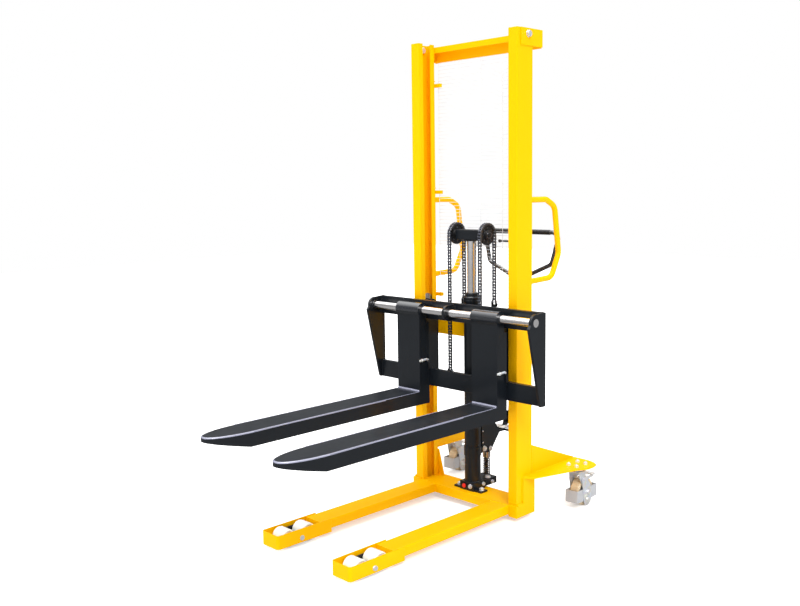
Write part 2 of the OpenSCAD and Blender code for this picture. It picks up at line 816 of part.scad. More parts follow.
// A chain wheel with its teeth, its hub and its bore, about the X axis
module chain_wheel(side) {
    root_r = chain_r - 3.9;
    tip_r = chain_r + 3.6;
    step = 360 / wheel_teeth;
    teeth = [for (i = [0:wheel_teeth - 1])
        each [for (q = [[root_r, -0.5], [root_r, -0.24], [tip_r, -0.08], [tip_r, 0.08],
            [root_r, 0.24]]) q[0] * [cos((i + q[1]) * step), sin((i + q[1]) * step)]]];
    color("dimgray") at_datum() translate([side * chain_x, lift_y, wheel_z]) rotate([0, 90, 0])
        difference() {
            union() {
                translate([0, 0, -wheel_t / 2]) linear_extrude(wheel_t) polygon(teeth);
                translate([0, 0, -wheel_hub_w / 2]) cylinder(r = wheel_hub_r, h = wheel_hub_w);
            }
            translate([0, 0, -wheel_hub_w]) cylinder(d = wheel_pin_d + 2 * pin_gap,
                h = 2 * wheel_hub_w);
        }
}

module left_chain_wheel() {
    chain_wheel(-1);
}

module right_chain_wheel() {
    chain_wheel(1);
}

// The half turn of chain over each wheel: two rows of plates outside the teeth
module wheel_chains() {
    inner_w = wheel_t + 2 * slide_gap;
    color("darkslategray") at_datum() pair() translate([chain_x, lift_y, wheel_z])
        rotate([0, 90, 0]) for (side = [-1, 1])
            translate([0, 0, side > 0 ? inner_w / 2 : -chain_w / 2]) difference() {
                cylinder(r = chain_r + chain_t / 2, h = (chain_w - inner_w) / 2);
                translate([0, 0, -grow]) cylinder(r = chain_r - chain_t / 2, h = chain_w);
                translate([0, -2 * chain_r, -grow]) cube([2 * chain_r, 4 * chain_r, chain_w]);
            }
}

// A straight run of chain: two rows of plates, with the rollers below the wheel between them
module chain_run(y, low_z) {
    inner_w = wheel_t + 2 * slide_gap;
    high = wheel_z - chain_r;
    rollers = floor((high - low_z) / chain_pitch);
    pair() translate([chain_x, y, 0]) {
        for (side = [-1, 1]) translate([side > 0 ? inner_w / 2 : -chain_w / 2, 0, 0])
            block([0, -chain_t / 2, low_z], [(chain_w - inner_w) / 2, chain_t / 2, wheel_z]);
        for (i = [0:rollers - 1])
            bar_x(-inner_w / 2, inner_w / 2, 0, low_z + (i + 0.5) * chain_pitch, roller_link_d, 24);
    }
}

module front_chains() {
    color("darkslategray") at_datum() chain_run(front_run_y, front_anchor_z);
}

module rear_chains() {
    color("darkslategray") at_datum() chain_run(rear_run_y, rear_anchor_z);
}

// A forked end for a chain, with its pin across, its slot up to the chain's end at z
module clevis(y, z) {
    difference() {
        block([chain_x - clevis_w / 2, y - chain_t / 2 - 1, z - clevis_h],
            [chain_x + clevis_w / 2, y + chain_t / 2 + 1, z + 2]);
        block([chain_x - chain_w / 2, y - chain_t, z],
            [chain_x + chain_w / 2, y + chain_t, z + 3]);
    }
    bar_x(chain_x - clevis_w / 2 - 3, chain_x - clevis_w / 2, y, z - 10, clevis_pin_d * 2);
    bar_x(chain_x + clevis_w / 2, chain_x + clevis_w / 2 + 3, y, z - 10, clevis_pin_d * 2);
}

module rear_chain_anchors() {
    low = mid_beam_top + slide_gap;
    nut_z = mid_beam_top + anchor_block_h;
    color("gray") at_datum() pair() {
        clevis(rear_run_y, rear_anchor_z);
        translate([chain_x, rear_run_y, low])
            cylinder(d = anchor_rod_d, h = rear_anchor_z - clevis_h - low);
        difference() {
            hex_z(chain_x, rear_run_y, nut_z, nut_z + 10, anchor_rod_d * 1.6);
            translate([chain_x, rear_run_y, nut_z - grow])
                cylinder(d = anchor_rod_d - eps, h = 10 + 2 * grow);
        }
    }
}

module front_chain_anchors() {
    color("gray") at_datum() pair() {
        clevis(front_run_y, front_anchor_z);
        block([chain_x - clevis_w / 2, crossbar_rear, front_anchor_z - clevis_h],
            [chain_x + clevis_w / 2, front_run_y - chain_t / 2 - 1, front_anchor_z - 8]);
    }
}

// Carriage
module upper_crossbar() {
    inner = carriage_x - side_plate_t;
    color("dimgray") at_datum() {
        block([-inner, crossbar_front, carriage_top - upper_bar_h],
            [inner, crossbar_rear, carriage_top]);
        difference() {
            union() {
                bar_x(-lug_t / 2, lug_t / 2, shaft_y, shaft_z, 2 * lug_r);
                block([-lug_t / 2, shaft_y, shaft_z - lug_r], [lug_t / 2, crossbar_front,
                    shaft_z + lug_r]);
            }
            bar_x(-lug_t, lug_t, shaft_y, shaft_z, shaft_d);
        }
    }
}

module lower_crossbar() {
    inner = carriage_x - side_plate_t;
    color("dimgray") at_datum() block([-inner, crossbar_front, carriage_z],
        [inner, crossbar_rear, carriage_z + lower_bar_h]);
}

// The side plate: straight at the back, round over the shaft, slanting down to the foot
module side_outline() {
    start = 80;
    polygon(concat(
        [[crossbar_rear, carriage_z], [crossbar_rear, carriage_top],
            [shaft_y + 45, carriage_top]],
        [for (i = [0:12]) let (a = start + (190 - start) * i / 12)
            [shaft_y + side_arc_r * cos(a), shaft_z + side_arc_r * sin(a)]],
        [[side_nose[0], carriage_z + side_nose[1]], [side_foot[0] - 3, carriage_z + side_foot[1]],
            [side_foot[0] + 3, carriage_z]]));
}

module side_plates() {
    color("dimgray") at_datum() pair() difference() {
        plate_x(carriage_x - side_plate_t, carriage_x) side_outline();
        bar_x(carriage_x - side_plate_t - grow, carriage_x + grow, shaft_y, shaft_z, shaft_d);
    }
}

module fork_shaft() {
    color("silver") at_datum() bar_x(-carriage_x, carriage_x, shaft_y, shaft_z, shaft_d);
}

module roller_plates() {
    r = 40;
    color("dimgray") at_datum() pair() difference() {
        plate_x(plate_in_x, plate_out_x) difference() {
            translate([crossbar_rear, carriage_z])
                square([roller_plate_rear - crossbar_rear, carriage_h - 8]);
            difference() {
                translate([roller_plate_rear - r, carriage_top - 8 - r]) square(r + grow);
                translate([roller_plate_rear - r, carriage_top - 8 - r]) circle(r);
            }
        }
        for (rise = [lower_roller_rise, upper_roller_rise])
            bar_x(plate_in_x - grow, plate_out_x + grow, section_y, carriage_z + rise,
                roller_pin_d);
    }
}

module roller_pins() {
    tip = roller_x + roller_w / 2;
    color("silver") at_datum() pair() for (rise = [lower_roller_rise, upper_roller_rise]) {
        bar_x(plate_in_x, tip, section_y, carriage_z + rise, roller_pin_d);
        bar_x(plate_out_x, roller_x - roller_w / 2 - slide_gap, section_y, carriage_z + rise,
            roller_pin_d + 10);
    }
}

module guide_rollers(rise) {
    color("gray") at_datum() pair() difference() {
        bar_x(roller_x - roller_w / 2, roller_x + roller_w / 2, section_y, carriage_z + rise,
            roller_d, 96);
        bar_x(roller_x - roller_w, roller_x + roller_w, section_y, carriage_z + rise,
            roller_pin_d + 2 * pin_gap);
    }
}

module upper_guide_rollers() {
    guide_rollers(upper_roller_rise);
}

module lower_guide_rollers() {
    guide_rollers(lower_roller_rise);
}

// Forks
// The blade in plan, smaller all round by inset, with a rounded nose
module fork_plan(inset) {
    half = fork_w / 2 - inset;
    tip_half = half * 0.07;
    polygon(concat(
        [[-half, shank_rear], [-half, fork_tip + nose_len]],
        [for (i = [0:10]) let (a = 90 * i / 10)
            [-tip_half - (half - tip_half) * cos(a),
                fork_tip + nose_len - (nose_len - inset) * sin(a)]],
        [for (i = [10:-1:0]) let (a = 90 * i / 10)
            [tip_half + (half - tip_half) * cos(a),
                fork_tip + nose_len - (nose_len - inset) * sin(a)]],
        [[half, shank_rear]]));
}

module fork_body() {
    difference() {
        intersection() {
            translate([0, 0, blade_low_z]) linear_extrude(blade_h) fork_plan(0);
            plate_x(-fork_w, fork_w) polygon([
                [shank_rear, blade_low_z], [shank_rear, blade_top_z], [fork_tip, blade_top_z],
                [fork_tip, blade_top_z - tip_t], [knee_y, blade_low_z]]);
        }
        block([-fork_w / 2 + blade_wall, cavity_front, blade_low_z - grow],
            [fork_w / 2 - blade_wall, shank_rear + grow, blade_top_z - blade_top_t]);
    }
    difference() {
        union() {
            block([-fork_w / 2, shank_front, blade_top_z], [fork_w / 2, shank_rear, shaft_z]);
            bar_x(-fork_w / 2, fork_w / 2, shaft_y, shaft_z, 2 * sleeve_r);
        }
        block([-fork_w / 2 + shank_t, shank_front + shank_t, blade_top_z + shank_t],
            [fork_w / 2 - shank_t, shank_rear + grow, shaft_z - sleeve_r - 6]);
        block([-fork_w, shaft_y + sleeve_r * 0.8, shaft_z - 60], [fork_w, shank_rear + grow,
            shaft_z + grow]);
        bar_x(-fork_w, fork_w, shaft_y, shaft_z, shaft_d + 2 * pin_gap);
    }
}

module left_fork() {
    color("dimgray") at_datum() translate([-fork_x, 0, 0]) fork_body();
}

module right_fork() {
    color("dimgray") at_datum() translate([fork_x, 0, 0]) fork_body();
}

// The bent pin that locks a fork, on the shank's right side
module lock_pin(side) {
    x = side * fork_x + fork_w / 2 + lock_pin_d / 2;
    path = [[x, shank_front - 4, lock_pin_z - 3], [x, shank_rear - 12, lock_pin_z],
        [x, shank_rear - 5, lock_pin_z - 46]];
    color("silver") at_datum() sweep_tube(bent(path, 14), lock_pin_d, [1, 0, 0], 12);
}

module left_lock_pin() {
    lock_pin(-1);
}

module right_lock_pin() {
    lock_pin(1);
}

// Load rollers
module bogie(side) {
    half = bogie_pitch / 2;
    color("dimgray") at_datum() translate([side * leg_x, bogie_y, 0]) difference() {
        union() {
            for (s = [-1, 1]) translate([s > 0 ? bogie_inner : -bogie_outer, 0, 0]) {
                rotate([90, 0, 90]) linear_extrude(bogie_plate_t) {
                    for (t = [-1, 1]) translate([t * half, load_roller_z]) circle(bogie_plate_r);
                    translate([-half, load_roller_z - bogie_plate_r])
                        square([bogie_pitch, 2 * bogie_plate_r]);
                }
            }
            bar_x(-bogie_inner, bogie_inner, 0, bogie_pivot_z, bogie_pin_d + 6);
            for (t = [-1, 1]) {
                bar_x(-bogie_outer, bogie_outer, t * half, load_roller_z, bogie_pin_d);
                for (s = [-1, 1])
                    bar_x(s > 0 ? bogie_outer : -bogie_outer - 3, s > 0 ? bogie_outer + 3 :
                        -bogie_outer, t * half, load_roller_z, bogie_pin_d + 6);
            }
        }
        bar_x(-toe_half_w, toe_half_w, 0, bogie_pivot_z, bogie_pin_d + 2 * pin_gap);
    }
}

module left_bogie() {
    bogie(-1);
}

module right_bogie() {
    bogie(1);
}

// A nylon roller: end is -1 for the front one of its bogie and 1 for the rear one
module load_roller(side, end) {
    crown = 6;
    w = load_roller_w / 2;
    r = load_roller_d / 2;
    color("ivory") at_datum()
        translate([side * leg_x, bogie_y + end * bogie_pitch / 2, load_roller_z])
            rotate([0, 90, 0]) rotate_extrude($fn = 64) polygon([
                [bogie_pin_d / 2 + pin_gap, -w], [r - crown, -w], [r - crown * 0.3, -w + crown * 0.3],
                [r, -w + crown], [r, w - crown], [r - crown * 0.3, w - crown * 0.3],
                [r - crown, w], [bogie_pin_d / 2 + pin_gap, w]]);
}

module left_front_load_roller() {
    load_roller(-1, -1);
}

module left_rear_load_roller() {
    load_roller(-1, 1);
}

module right_front_load_roller() {
    load_roller(1, -1);
}

module right_rear_load_roller() {
    load_roller(1, 1);
}

// Castors
// A castor's own frame: the swivel axis at X = Y = 0, the wheel behind it along +Y
module at_castor(side) {
    at_datum() translate([side * castor_x, castor_y, 0]) rotate(castor_turn) children();
}

module castor_mounts() {
    color("silver") at_datum() pair() difference() {
        union() {
            translate([castor_x, castor_y, castor_plate_z - castor_top_t]) rotate(-castor_turn)
                translate([-34, -44, 0]) cube([68, 88, castor_top_t]);
            translate([castor_x, castor_y, yoke_top_z + slide_gap])
                cylinder(r = castor_race_r, h = castor_race_h);
        }
        castor_bolt_places() translate([0, 0, castor_plate_z - castor_top_t - grow])
            cylinder(d = castor_bolt_d + 2 * bolt_gap, h = castor_top_t + 2 * grow);
        translate([castor_x, castor_y, yoke_top_z - grow])
            cylinder(d = kingpin_d + 2 * pin_gap, h = castor_race_h + grow + slide_gap - 1);
    }
}

module castor_yoke(side) {
    leg_r = 15;
    color("lightgray") at_castor(side) {
            translate([0, 0, yoke_top_z - yoke_t]) cylinder(r = 34, h = yoke_t);
            translate([0, 0, yoke_top_z - eps]) cylinder(d = kingpin_d, h = castor_race_h - 2);
            for (s = [-1, 1]) plate_x(s > 0 ? yoke_half_w - yoke_t : -yoke_half_w,
                s > 0 ? yoke_half_w : -yoke_half_w + yoke_t) {
                polygon([[-26, yoke_top_z - eps], [28, yoke_top_z - eps],
                    [castor_trail + leg_r, castor_wheel_z], [castor_trail - leg_r, castor_wheel_z]]);
                translate([castor_trail, castor_wheel_z]) circle(leg_r);
            }
            bar_x(-yoke_half_w - 4, yoke_half_w + 4, castor_trail, castor_wheel_z, castor_axle_d);
            bar_x(-yoke_half_w - 6, yoke_half_w + 6, brake_pivot[0], brake_pivot[1], brake_pin_d);
            for (s = [-1, 1]) hex_x(s > 0 ? yoke_half_w : -yoke_half_w - 7,
                s > 0 ? yoke_half_w + 7 : -yoke_half_w, castor_trail, castor_wheel_z, 19);
    }
}

module left_castor_yoke() {
    castor_yoke(-1);
}

module right_castor_yoke() {
    castor_yoke(1);
}

module castor_wheel(side) {
    crown = 7;
    w = castor_wheel_w / 2;
    r = castor_wheel_d / 2;
    bore = castor_axle_d / 2 + pin_gap;
    color("wheat") at_castor(side) translate([0, castor_trail, castor_wheel_z])
        rotate([0, 90, 0]) rotate_extrude($fn = 72) polygon([
            [bore, -w], [18, -w], [22, -w + 6], [r - 16, -w + 6], [r - 12, -w], [r - crown, -w],
            [r - crown * 0.3, -w + crown * 0.3], [r, -w + crown], [r, w - crown],
            [r - crown * 0.3, w - crown * 0.3], [r - crown, w], [r - 12, w], [r - 16, w - 6],
            [22, w - 6], [18, w], [bore, w]]);
}

module left_castor_wheel() {
    castor_wheel(-1);
}

module right_castor_wheel() {
    castor_wheel(1);
}

// The steel band round a castor wheel that keeps feet out
module foot_guard(side) {
    half_w = yoke_half_w + foot_guard_t;
    color("darkgray") at_castor(side) translate([0, castor_trail, foot_guard_z]) difference() {
        translate([-half_w, -foot_guard_half_l, 0])
            cube([2 * half_w, 2 * foot_guard_half_l, foot_guard_h]);
        translate([-yoke_half_w, -foot_guard_half_l + foot_guard_t, -grow])
            cube([2 * yoke_half_w, 2 * (foot_guard_half_l - foot_guard_t), foot_guard_h + 2 * grow]);
        bar_x(-half_w - grow, half_w + grow, 0, castor_wheel_z - foot_guard_z, 24);
    }
}

module left_foot_guard() {
    foot_guard(-1);
}

module right_foot_guard() {
    foot_guard(1);
}

// The brake pedal: an arm on each side of the yoke, joined by a tread behind the wheel
module brake_pedal(side) {
    arm_in = yoke_half_w + slide_gap;
    arm_out = arm_in + 3;
    y = brake_pivot[0];
    z = brake_pivot[1];
    color("silver") at_castor(side) {
        for (s = [-1, 1]) plate_x(s > 0 ? arm_in : -arm_out, s > 0 ? arm_out : -arm_in)
            difference() {
                union() {
                    translate([y, z]) circle(9);
                    polygon([[y, z - 9], [y + 78, z - 4], [y + 78, z + 6], [y, z + 9]]);
                }
                translate([y, z]) circle(brake_pin_d / 2 + pin_gap);
            }
        block([-arm_out, y + 66, z + 2], [arm_out, y + 100, z + 6]);
    }
}

module left_brake_pedal() {
    brake_pedal(-1);
}

module right_brake_pedal() {
    brake_pedal(1);
}

// Pump
module pump_base() {
    base_z = leg_z + leg_h;
    boss_z = base_z - pump_drop;
    color("dimgray") at_datum() {
        difference() {
            union() {
                block([-flange_w / 2, flange_y, base_z],
                    [flange_w / 2, flange_y + flange_d, pump_z]);
                block([-pump_w / 2, pump_y, base_z], [pump_w / 2, pump_y + 80, pump_z + eps]);
                block([-pump_w / 2, pump_y, pump_z], [pump_w / 2, pump_y + pump_len, pump_top]);
                translate([0, plunger_y, boss_z])
                    cylinder(r = plunger_boss_r, h = pump_z + 5 - boss_z);
            }
            translate([0, lift_y, cylinder_z]) cylinder(d = tube_d, h = pump_h + grow);
            translate([0, plunger_y, boss_z + 4])
                cylinder(d = plunger_d + 2 * pin_gap, h = pump_top - boss_z + grow);
            translate([-14, pump_y - grow, pump_z + 12]) rotate([-90, 0, 0])
                cylinder(d = 12, h = 5 + grow);
        }
        for (s = [-1, 1]) hex_z(s * (flange_w / 2 - 15.5), flange_y + flange_d / 2, pump_z,
            pump_z + 8, 18);
        lever_clamp();
    }
}

// The bracket clamped to the cylinder that carries the lever's pivot
module lever_clamp() {
    half = lever_w / 2 - cheek_t - slide_gap;
    difference() {
        union() {
            translate([0, lift_y, pivot_z - clamp_h / 2])
                cylinder(d = tube_d + 2 * clamp_t, h = clamp_h);
            block([-half, lift_y, pivot_z - 22], [half, pivot_y, pivot_z + 22]);
            bar_x(-half, half, pivot_y, pivot_z, 26);
        }
        translate([0, lift_y, pivot_z - 31]) cylinder(d = tube_d, h = 62);
        bar_x(-lever_w, lever_w, pivot_y, pivot_z, pivot_d);
    }
}

module relief_plug() {
    color("red") at_datum() translate([-14, 0, pump_z + 12]) rotate([-90, 0, 0]) {
        translate([0, 0, pump_y - 7]) cylinder(d = 18, h = 7);
        translate([0, 0, pump_y]) cylinder(d = 12, h = 5);
    }
}

module pump_plunger() {
    low = leg_z + leg_h - pump_drop + 24;
    color("silver") at_datum() translate([0, plunger_y, 0]) {
        translate([0, 0, low]) cylinder(d = plunger_d, h = plunger_top_z - cap_t - low);
        translate([0, 0, plunger_top_z - cap_t]) cylinder(r = cap_r, h = cap_t);
    }
}

// One unbroken wire: a straight end down, the curls, and a straight end up
module pump_spring() {
    start = spring_curl[0];
    last = spring_curl[len(spring_curl) - 1];
    path = concat([start - [0, 0, spring_wire]], spring_curl, [last + [0, 0, spring_wire]]);
    outward = [for (q = path) unit([q[0], q[1], 0])];
    color("black") at_datum() translate([0, plunger_y, 0])
        sweep_tube(path, spring_wire, outward, 6);
}

// Lever and tiller
module pump_lever() {
    half = lever_w / 2;
    roller_y = pivot_y + roller_pin_dy;
    foot = tiller_foot;
    color("dimgray") at_datum() {
        for (s = [-1, 1]) plate_x(s > 0 ? half - cheek_t : -half, s > 0 ? half : -half + cheek_t)
            difference() {
                union() {
                    translate([pivot_y, pivot_z]) circle(lever_eye_r);
                    polygon([[pivot_y, pivot_z - lever_eye_r], [roller_y - 8, push_roller_z - 11.4],
                        [roller_y + 13, push_roller_z], [pedal_y - 36, pedal_z - pedal_t + 1],
                        [pedal_y, pedal_z - pedal_t], [pedal_y + pedal_d + 2, pedal_z - pedal_t],
                        [foot[0] + 24, foot[1] - 6], [foot[0] + 16, foot[1] + 26],
                        [foot[0] - 18, foot[1] + 26], [foot[0] - 38, pedal_z + 2],
                        [pedal_y - 36, pedal_z + 1], [pivot_y + 83, pivot_z + 104],
                        [pivot_y + 76, pivot_z + 124], [pivot_y - 14.5, pivot_z + 124],
                        [pivot_y - 14.5, pivot_z + 52], [pivot_y - lever_eye_r, pivot_z + 2]]);
                    translate([roller_y, push_roller_z]) circle(13);
                }
                translate([pivot_y, pivot_z]) circle(pivot_d / 2 + pin_gap);
            }
        bar_x(-half - 4, half + 4, roller_y, push_roller_z, pivot_d);
        bar_x(-half + cheek_t, half - cheek_t, roller_y, push_roller_z, 2 * push_roller_r);
        block([-pedal_w / 2, pedal_y, pedal_z - pedal_t],
            [pedal_w / 2, pedal_y + pedal_d, pedal_z]);
    }
}

// The tiller's own frame: its foot at the origin, its tube along +Z
module at_tiller() {
    at_datum() translate([0, tiller_foot[0], tiller_foot[1]]) rotate([-tiller_lean, 0, 0]) children();
}

module tiller() {
    low = tiller_len - loop_h;
    socket = tiller_socket;
    color("black") at_tiller() {
        difference() {
            translate([0, 0, -socket]) cylinder(d = tiller_d, h = low + socket + loop_d / 2);
            translate([0, 0, -socket - grow])
                cylinder(d = tiller_d - 2 * tiller_wall, h = low + socket - loop_d);
        }
        block([-13, -5, low], [13, 5, release_z + 14]);
        rotate([-90, 0, 0]) translate([0, -release_z, -5 - release_hub]) cylinder(d = 8,
            h = release_hub);
        sweep_tube(bent([[-10, 0, low], [-loop_half_w + 32, 0, low + 76],
            [-loop_half_w, 0, tiller_len - 22], [-loop_half_w + 26, 0, tiller_len],
            [loop_half_w - 26, 0, tiller_len], [loop_half_w, 0, tiller_len - 22],
            [loop_half_w - 32, 0, low + 76], [10, 0, low]], 26), loop_d, [0, 1, 0], 10);
    }
}

// The lever that lowers the forks, pinned to the front of the tiller's head inside the loop
module lowering_lever() {
    reach = 125;
    front = -5 - slide_gap;
    color("dimgray") at_tiller() translate([0, 0, release_z]) {
        rotate([90, 0, 0]) translate([0, 0, -front]) difference() {
            cylinder(d = 24, h = release_hub - 2);
            translate([0, 0, -grow]) cylinder(d = 8 + 2 * pin_gap, h = release_hub + grow);
        }
        difference() {
            bar_x(-reach, -8, front - 5, 0, 10);
            translate([0, front + grow, 0]) rotate([90, 0, 0]) cylinder(d = 22, h = 14);
        }
    }
}

left_upright();
right_upright();
top_beam();
end_plates();
mid_beam();
base_beam();
legs();
toe_boxes();
frame_gussets();
castor_plates();
frame_bolts();
guard_mesh();
guard_tabs();
grab_handles();
cylinder_tube();
cylinder_head();
piston_rod();
piston();
crosshead();
left_chain_wheel();
right_chain_wheel();
wheel_chains();
front_chains();
rear_chains();
rear_chain_anchors();
front_chain_anchors();
upper_crossbar();
lower_crossbar();
side_plates();
fork_shaft();
roller_plates();
roller_pins();
upper_guide_rollers();
lower_guide_rollers();
left_fork();
right_fork();
left_lock_pin();
right_lock_pin();
left_bogie();
right_bogie();
left_front_load_roller();
left_rear_load_roller();
right_front_load_roller();
right_rear_load_roller();
castor_mounts();
left_castor_yoke();
right_castor_yoke();
left_castor_wheel();
right_castor_wheel();
left_foot_guard();
right_foot_guard();
left_brake_pedal();
right_brake_pedal();
pump_base();
relief_plug();
pump_plunger();
pump_spring();
pump_lever();
tiller();
lowering_lever();
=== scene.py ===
"""Hand pallet stacker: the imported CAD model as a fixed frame, dressed with its visible detail.

Places are in mm from the uprights' front faces, as in the part's source, and become metres
in the row frame when a piece is made.
"""
import json
import math
import random

import bmesh
import bpy
from mathutils import Matrix, Vector


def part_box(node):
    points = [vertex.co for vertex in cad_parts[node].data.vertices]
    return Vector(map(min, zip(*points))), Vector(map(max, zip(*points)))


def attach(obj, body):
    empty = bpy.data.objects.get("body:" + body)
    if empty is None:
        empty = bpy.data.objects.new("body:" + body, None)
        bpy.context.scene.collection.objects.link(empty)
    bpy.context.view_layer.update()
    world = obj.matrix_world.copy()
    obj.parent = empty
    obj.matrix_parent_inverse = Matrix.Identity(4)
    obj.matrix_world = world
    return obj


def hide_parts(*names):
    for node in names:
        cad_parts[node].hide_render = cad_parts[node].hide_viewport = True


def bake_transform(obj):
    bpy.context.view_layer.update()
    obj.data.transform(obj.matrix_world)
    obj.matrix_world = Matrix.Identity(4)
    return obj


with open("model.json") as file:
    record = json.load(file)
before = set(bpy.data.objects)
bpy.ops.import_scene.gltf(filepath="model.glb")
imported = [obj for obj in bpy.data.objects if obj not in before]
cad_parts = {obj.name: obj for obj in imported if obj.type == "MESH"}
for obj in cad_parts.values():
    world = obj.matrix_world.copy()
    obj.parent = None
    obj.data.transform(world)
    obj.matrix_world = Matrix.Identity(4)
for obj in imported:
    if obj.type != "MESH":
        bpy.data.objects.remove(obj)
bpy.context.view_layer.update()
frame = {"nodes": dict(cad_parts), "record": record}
RNG = random.Random(7)
PI = math.pi
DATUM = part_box("left_upright")[0].y * 1000
TO_ROW = Matrix.Scale(0.001, 4) @ Matrix.Translation((0, DATUM, 0))
TO_MM = TO_ROW.inverted()


# Materials
def new_material(name):
    m = bpy.data.materials.new(name)
    m.use_nodes = True
    tree = m.node_tree
    shader = tree.nodes["Principled BSDF"]
    place = tree.nodes.new("ShaderNodeTexCoord")
    return m, tree, shader, place.outputs["Object"]


def noise(tree, where, scale, detail=2.0, rough=0.5):
    n = tree.nodes.new("ShaderNodeTexNoise")
    n.inputs["Scale"].default_value = scale
    n.inputs["Detail"].default_value = detail
    n.inputs["Roughness"].default_value = rough
    tree.links.new(where, n.inputs["Vector"])
    return n.outputs["Fac"]


def ramp(tree, fac, stops):
    n = tree.nodes.new("ShaderNodeValToRGB")
    while len(n.color_ramp.elements) < len(stops):
        n.color_ramp.elements.new(0.5)
    for e, (at, c) in zip(n.color_ramp.elements, stops):
        e.position = at
        e.color = (*c, 1.0) if isinstance(c, (tuple, list)) else (c, c, c, 1.0)
    tree.links.new(fac, n.inputs["Fac"])
    return n.outputs["Color"]


def to_range(tree, fac, low, high, a=0.25, b=0.75):
    n = tree.nodes.new("ShaderNodeMapRange")
    for key, value in (("From Min", a), ("From Max", b), ("To Min", low), ("To Max", high)):
        n.inputs[key].default_value = value
    tree.links.new(fac, n.inputs["Value"])
    return n.outputs["Result"]


def bump(tree, shader, height, strength, distance):
    n = tree.nodes.new("ShaderNodeBump")
    n.inputs["Strength"].default_value = strength
    n.inputs["Distance"].default_value = distance
    tree.links.new(height, n.inputs["Height"])
    tree.links.new(n.outputs["Normal"], shader.inputs["Normal"])


def stretched(tree, where, scale):
    """The place scaled differently along each axis, for grain and layers."""
    n = tree.nodes.new("ShaderNodeMapping")
    n.inputs["Scale"].default_value = scale
    tree.links.new(where, n.inputs["Vector"])
    return n.outputs["Vector"]


def mix(tree, fac, a, b, kind="MIX"):
    n = tree.nodes.new("ShaderNodeMix")
    n.data_type = "RGBA"
    n.blend_type = kind
    for key, value in (("Factor", fac), ("A", a), ("B", b)):
        socket = [s for s in n.inputs if s.name == key and s.enabled][0]
        if isinstance(value, bpy.types.NodeSocket):
            tree.links.new(value, socket)
        elif key == "Factor":
            socket.default_value = value
        else:
            socket.default_value = (*value, 1.0)
    return [s for s in n.outputs if s.enabled][0]


def surface(tree, shader, tone, gloss):
    tree.links.new(tone, shader.inputs["Base Color"])
    tree.links.new(gloss, shader.inputs["Roughness"])


def scaled(color, k):
    return tuple(min(1.0, c * k) for c in color)


def paint(name, color, rough, peel=0.12, vary=0.03, coat=0.0, specular=0.5):
    """Powder coat or wet paint: faint cloudiness, orange peel, uneven gloss."""
    m, tree, shader, where = new_material(name)
    cloud = noise(tree, where, 3.1, 3.0)
    fine = noise(tree, where, 620.0, 2.0)
    tone = ramp(tree, cloud, [(0.3, scaled(color, 1 - vary)), (0.7, scaled(color, 1 + vary))])
    speck = to_range(tree, noise(tree, where, 2400.0, 1.0), 0.0, 1.0, 0.66, 0.74)
    surface(tree, shader, mix(tree, speck, tone, scaled(color, 0.86)),
            to_range(tree, noise(tree, where, 14.0, 4.0), rough - 0.05, rough + 0.07))
    shader.inputs["Specular IOR Level"].default_value = specular
    shader.inputs["Coat Weight"].default_value = coat
    shader.inputs["Coat Roughness"].default_value = 0.12
    bump(tree, shader, fine, peel, 0.0004)
    return m


def metal(name, color, rough, vary=0.08, grain=0.1, grain_scale=(900, 900, 900), tint=None,
          spangle=0.0, metallic=1.0):
    """Bare or plated metal: tone and gloss vary, with fine grain stretched one way."""
    m, tree, shader, where = new_material(name)
    shader.inputs["Metallic"].default_value = metallic
    cloud = noise(tree, where, 22.0, 4.0)
    stops = [(0.25, scaled(color, 1 - vary)), (0.75, scaled(color, 1 + vary))]
    if tint:
        stops = [(0.2, scaled(color, 1 - vary)), (0.45, color), (0.6, tint),
                 (0.8, scaled(color, 1 + vary))]
    tone = ramp(tree, cloud, stops)
    if spangle:
        cells = tree.nodes.new("ShaderNodeTexVoronoi")
        cells.inputs["Scale"].default_value = 160.0
        tree.links.new(where, cells.inputs["Vector"])
        tone = mix(tree, spangle, tone, cells.outputs["Color"], "SOFT_LIGHT")
    surface(tree, shader, tone,
            to_range(tree, noise(tree, where, 60.0, 3.0), rough * 0.75, rough * 1.3))
    bump(tree, shader, noise(tree, stretched(tree, where, grain_scale), 1.0, 2.0), grain, 0.0002)
    return m


def plastic(name, color, rough, vary=0.04, subsurface=0.0, peel=0.08, streak=None):
    """Moulded nylon, tread or plastic: mottled, a little translucent, with a fine texture."""
    m, tree, shader, where = new_material(name)
    cloud = noise(tree, where, 34.0, 4.0, 0.6)
    tone = ramp(tree, cloud, [(0.3, scaled(color, 1 - vary)), (0.7, scaled(color, 1 + vary))])
    if streak:
        layers = noise(tree, stretched(tree, where, (30.0, 30.0, 420.0)), 1.0, 3.0)
        tone = mix(tree, to_range(tree, layers, 0.0, 1.0, 0.42, 0.62), tone, streak)
    surface(tree, shader, tone,
            to_range(tree, noise(tree, where, 90.0, 3.0), rough - 0.06, rough + 0.1))
    shader.inputs["Subsurface Weight"].default_value = subsurface
    shader.inputs["Subsurface Scale"].default_value = 0.006
    shader.inputs["Subsurface Radius"].default_value = (1.0, 0.8, 0.6)
    bump(tree, shader, noise(tree, where, 1500.0, 2.0), peel, 0.0003)
    return m


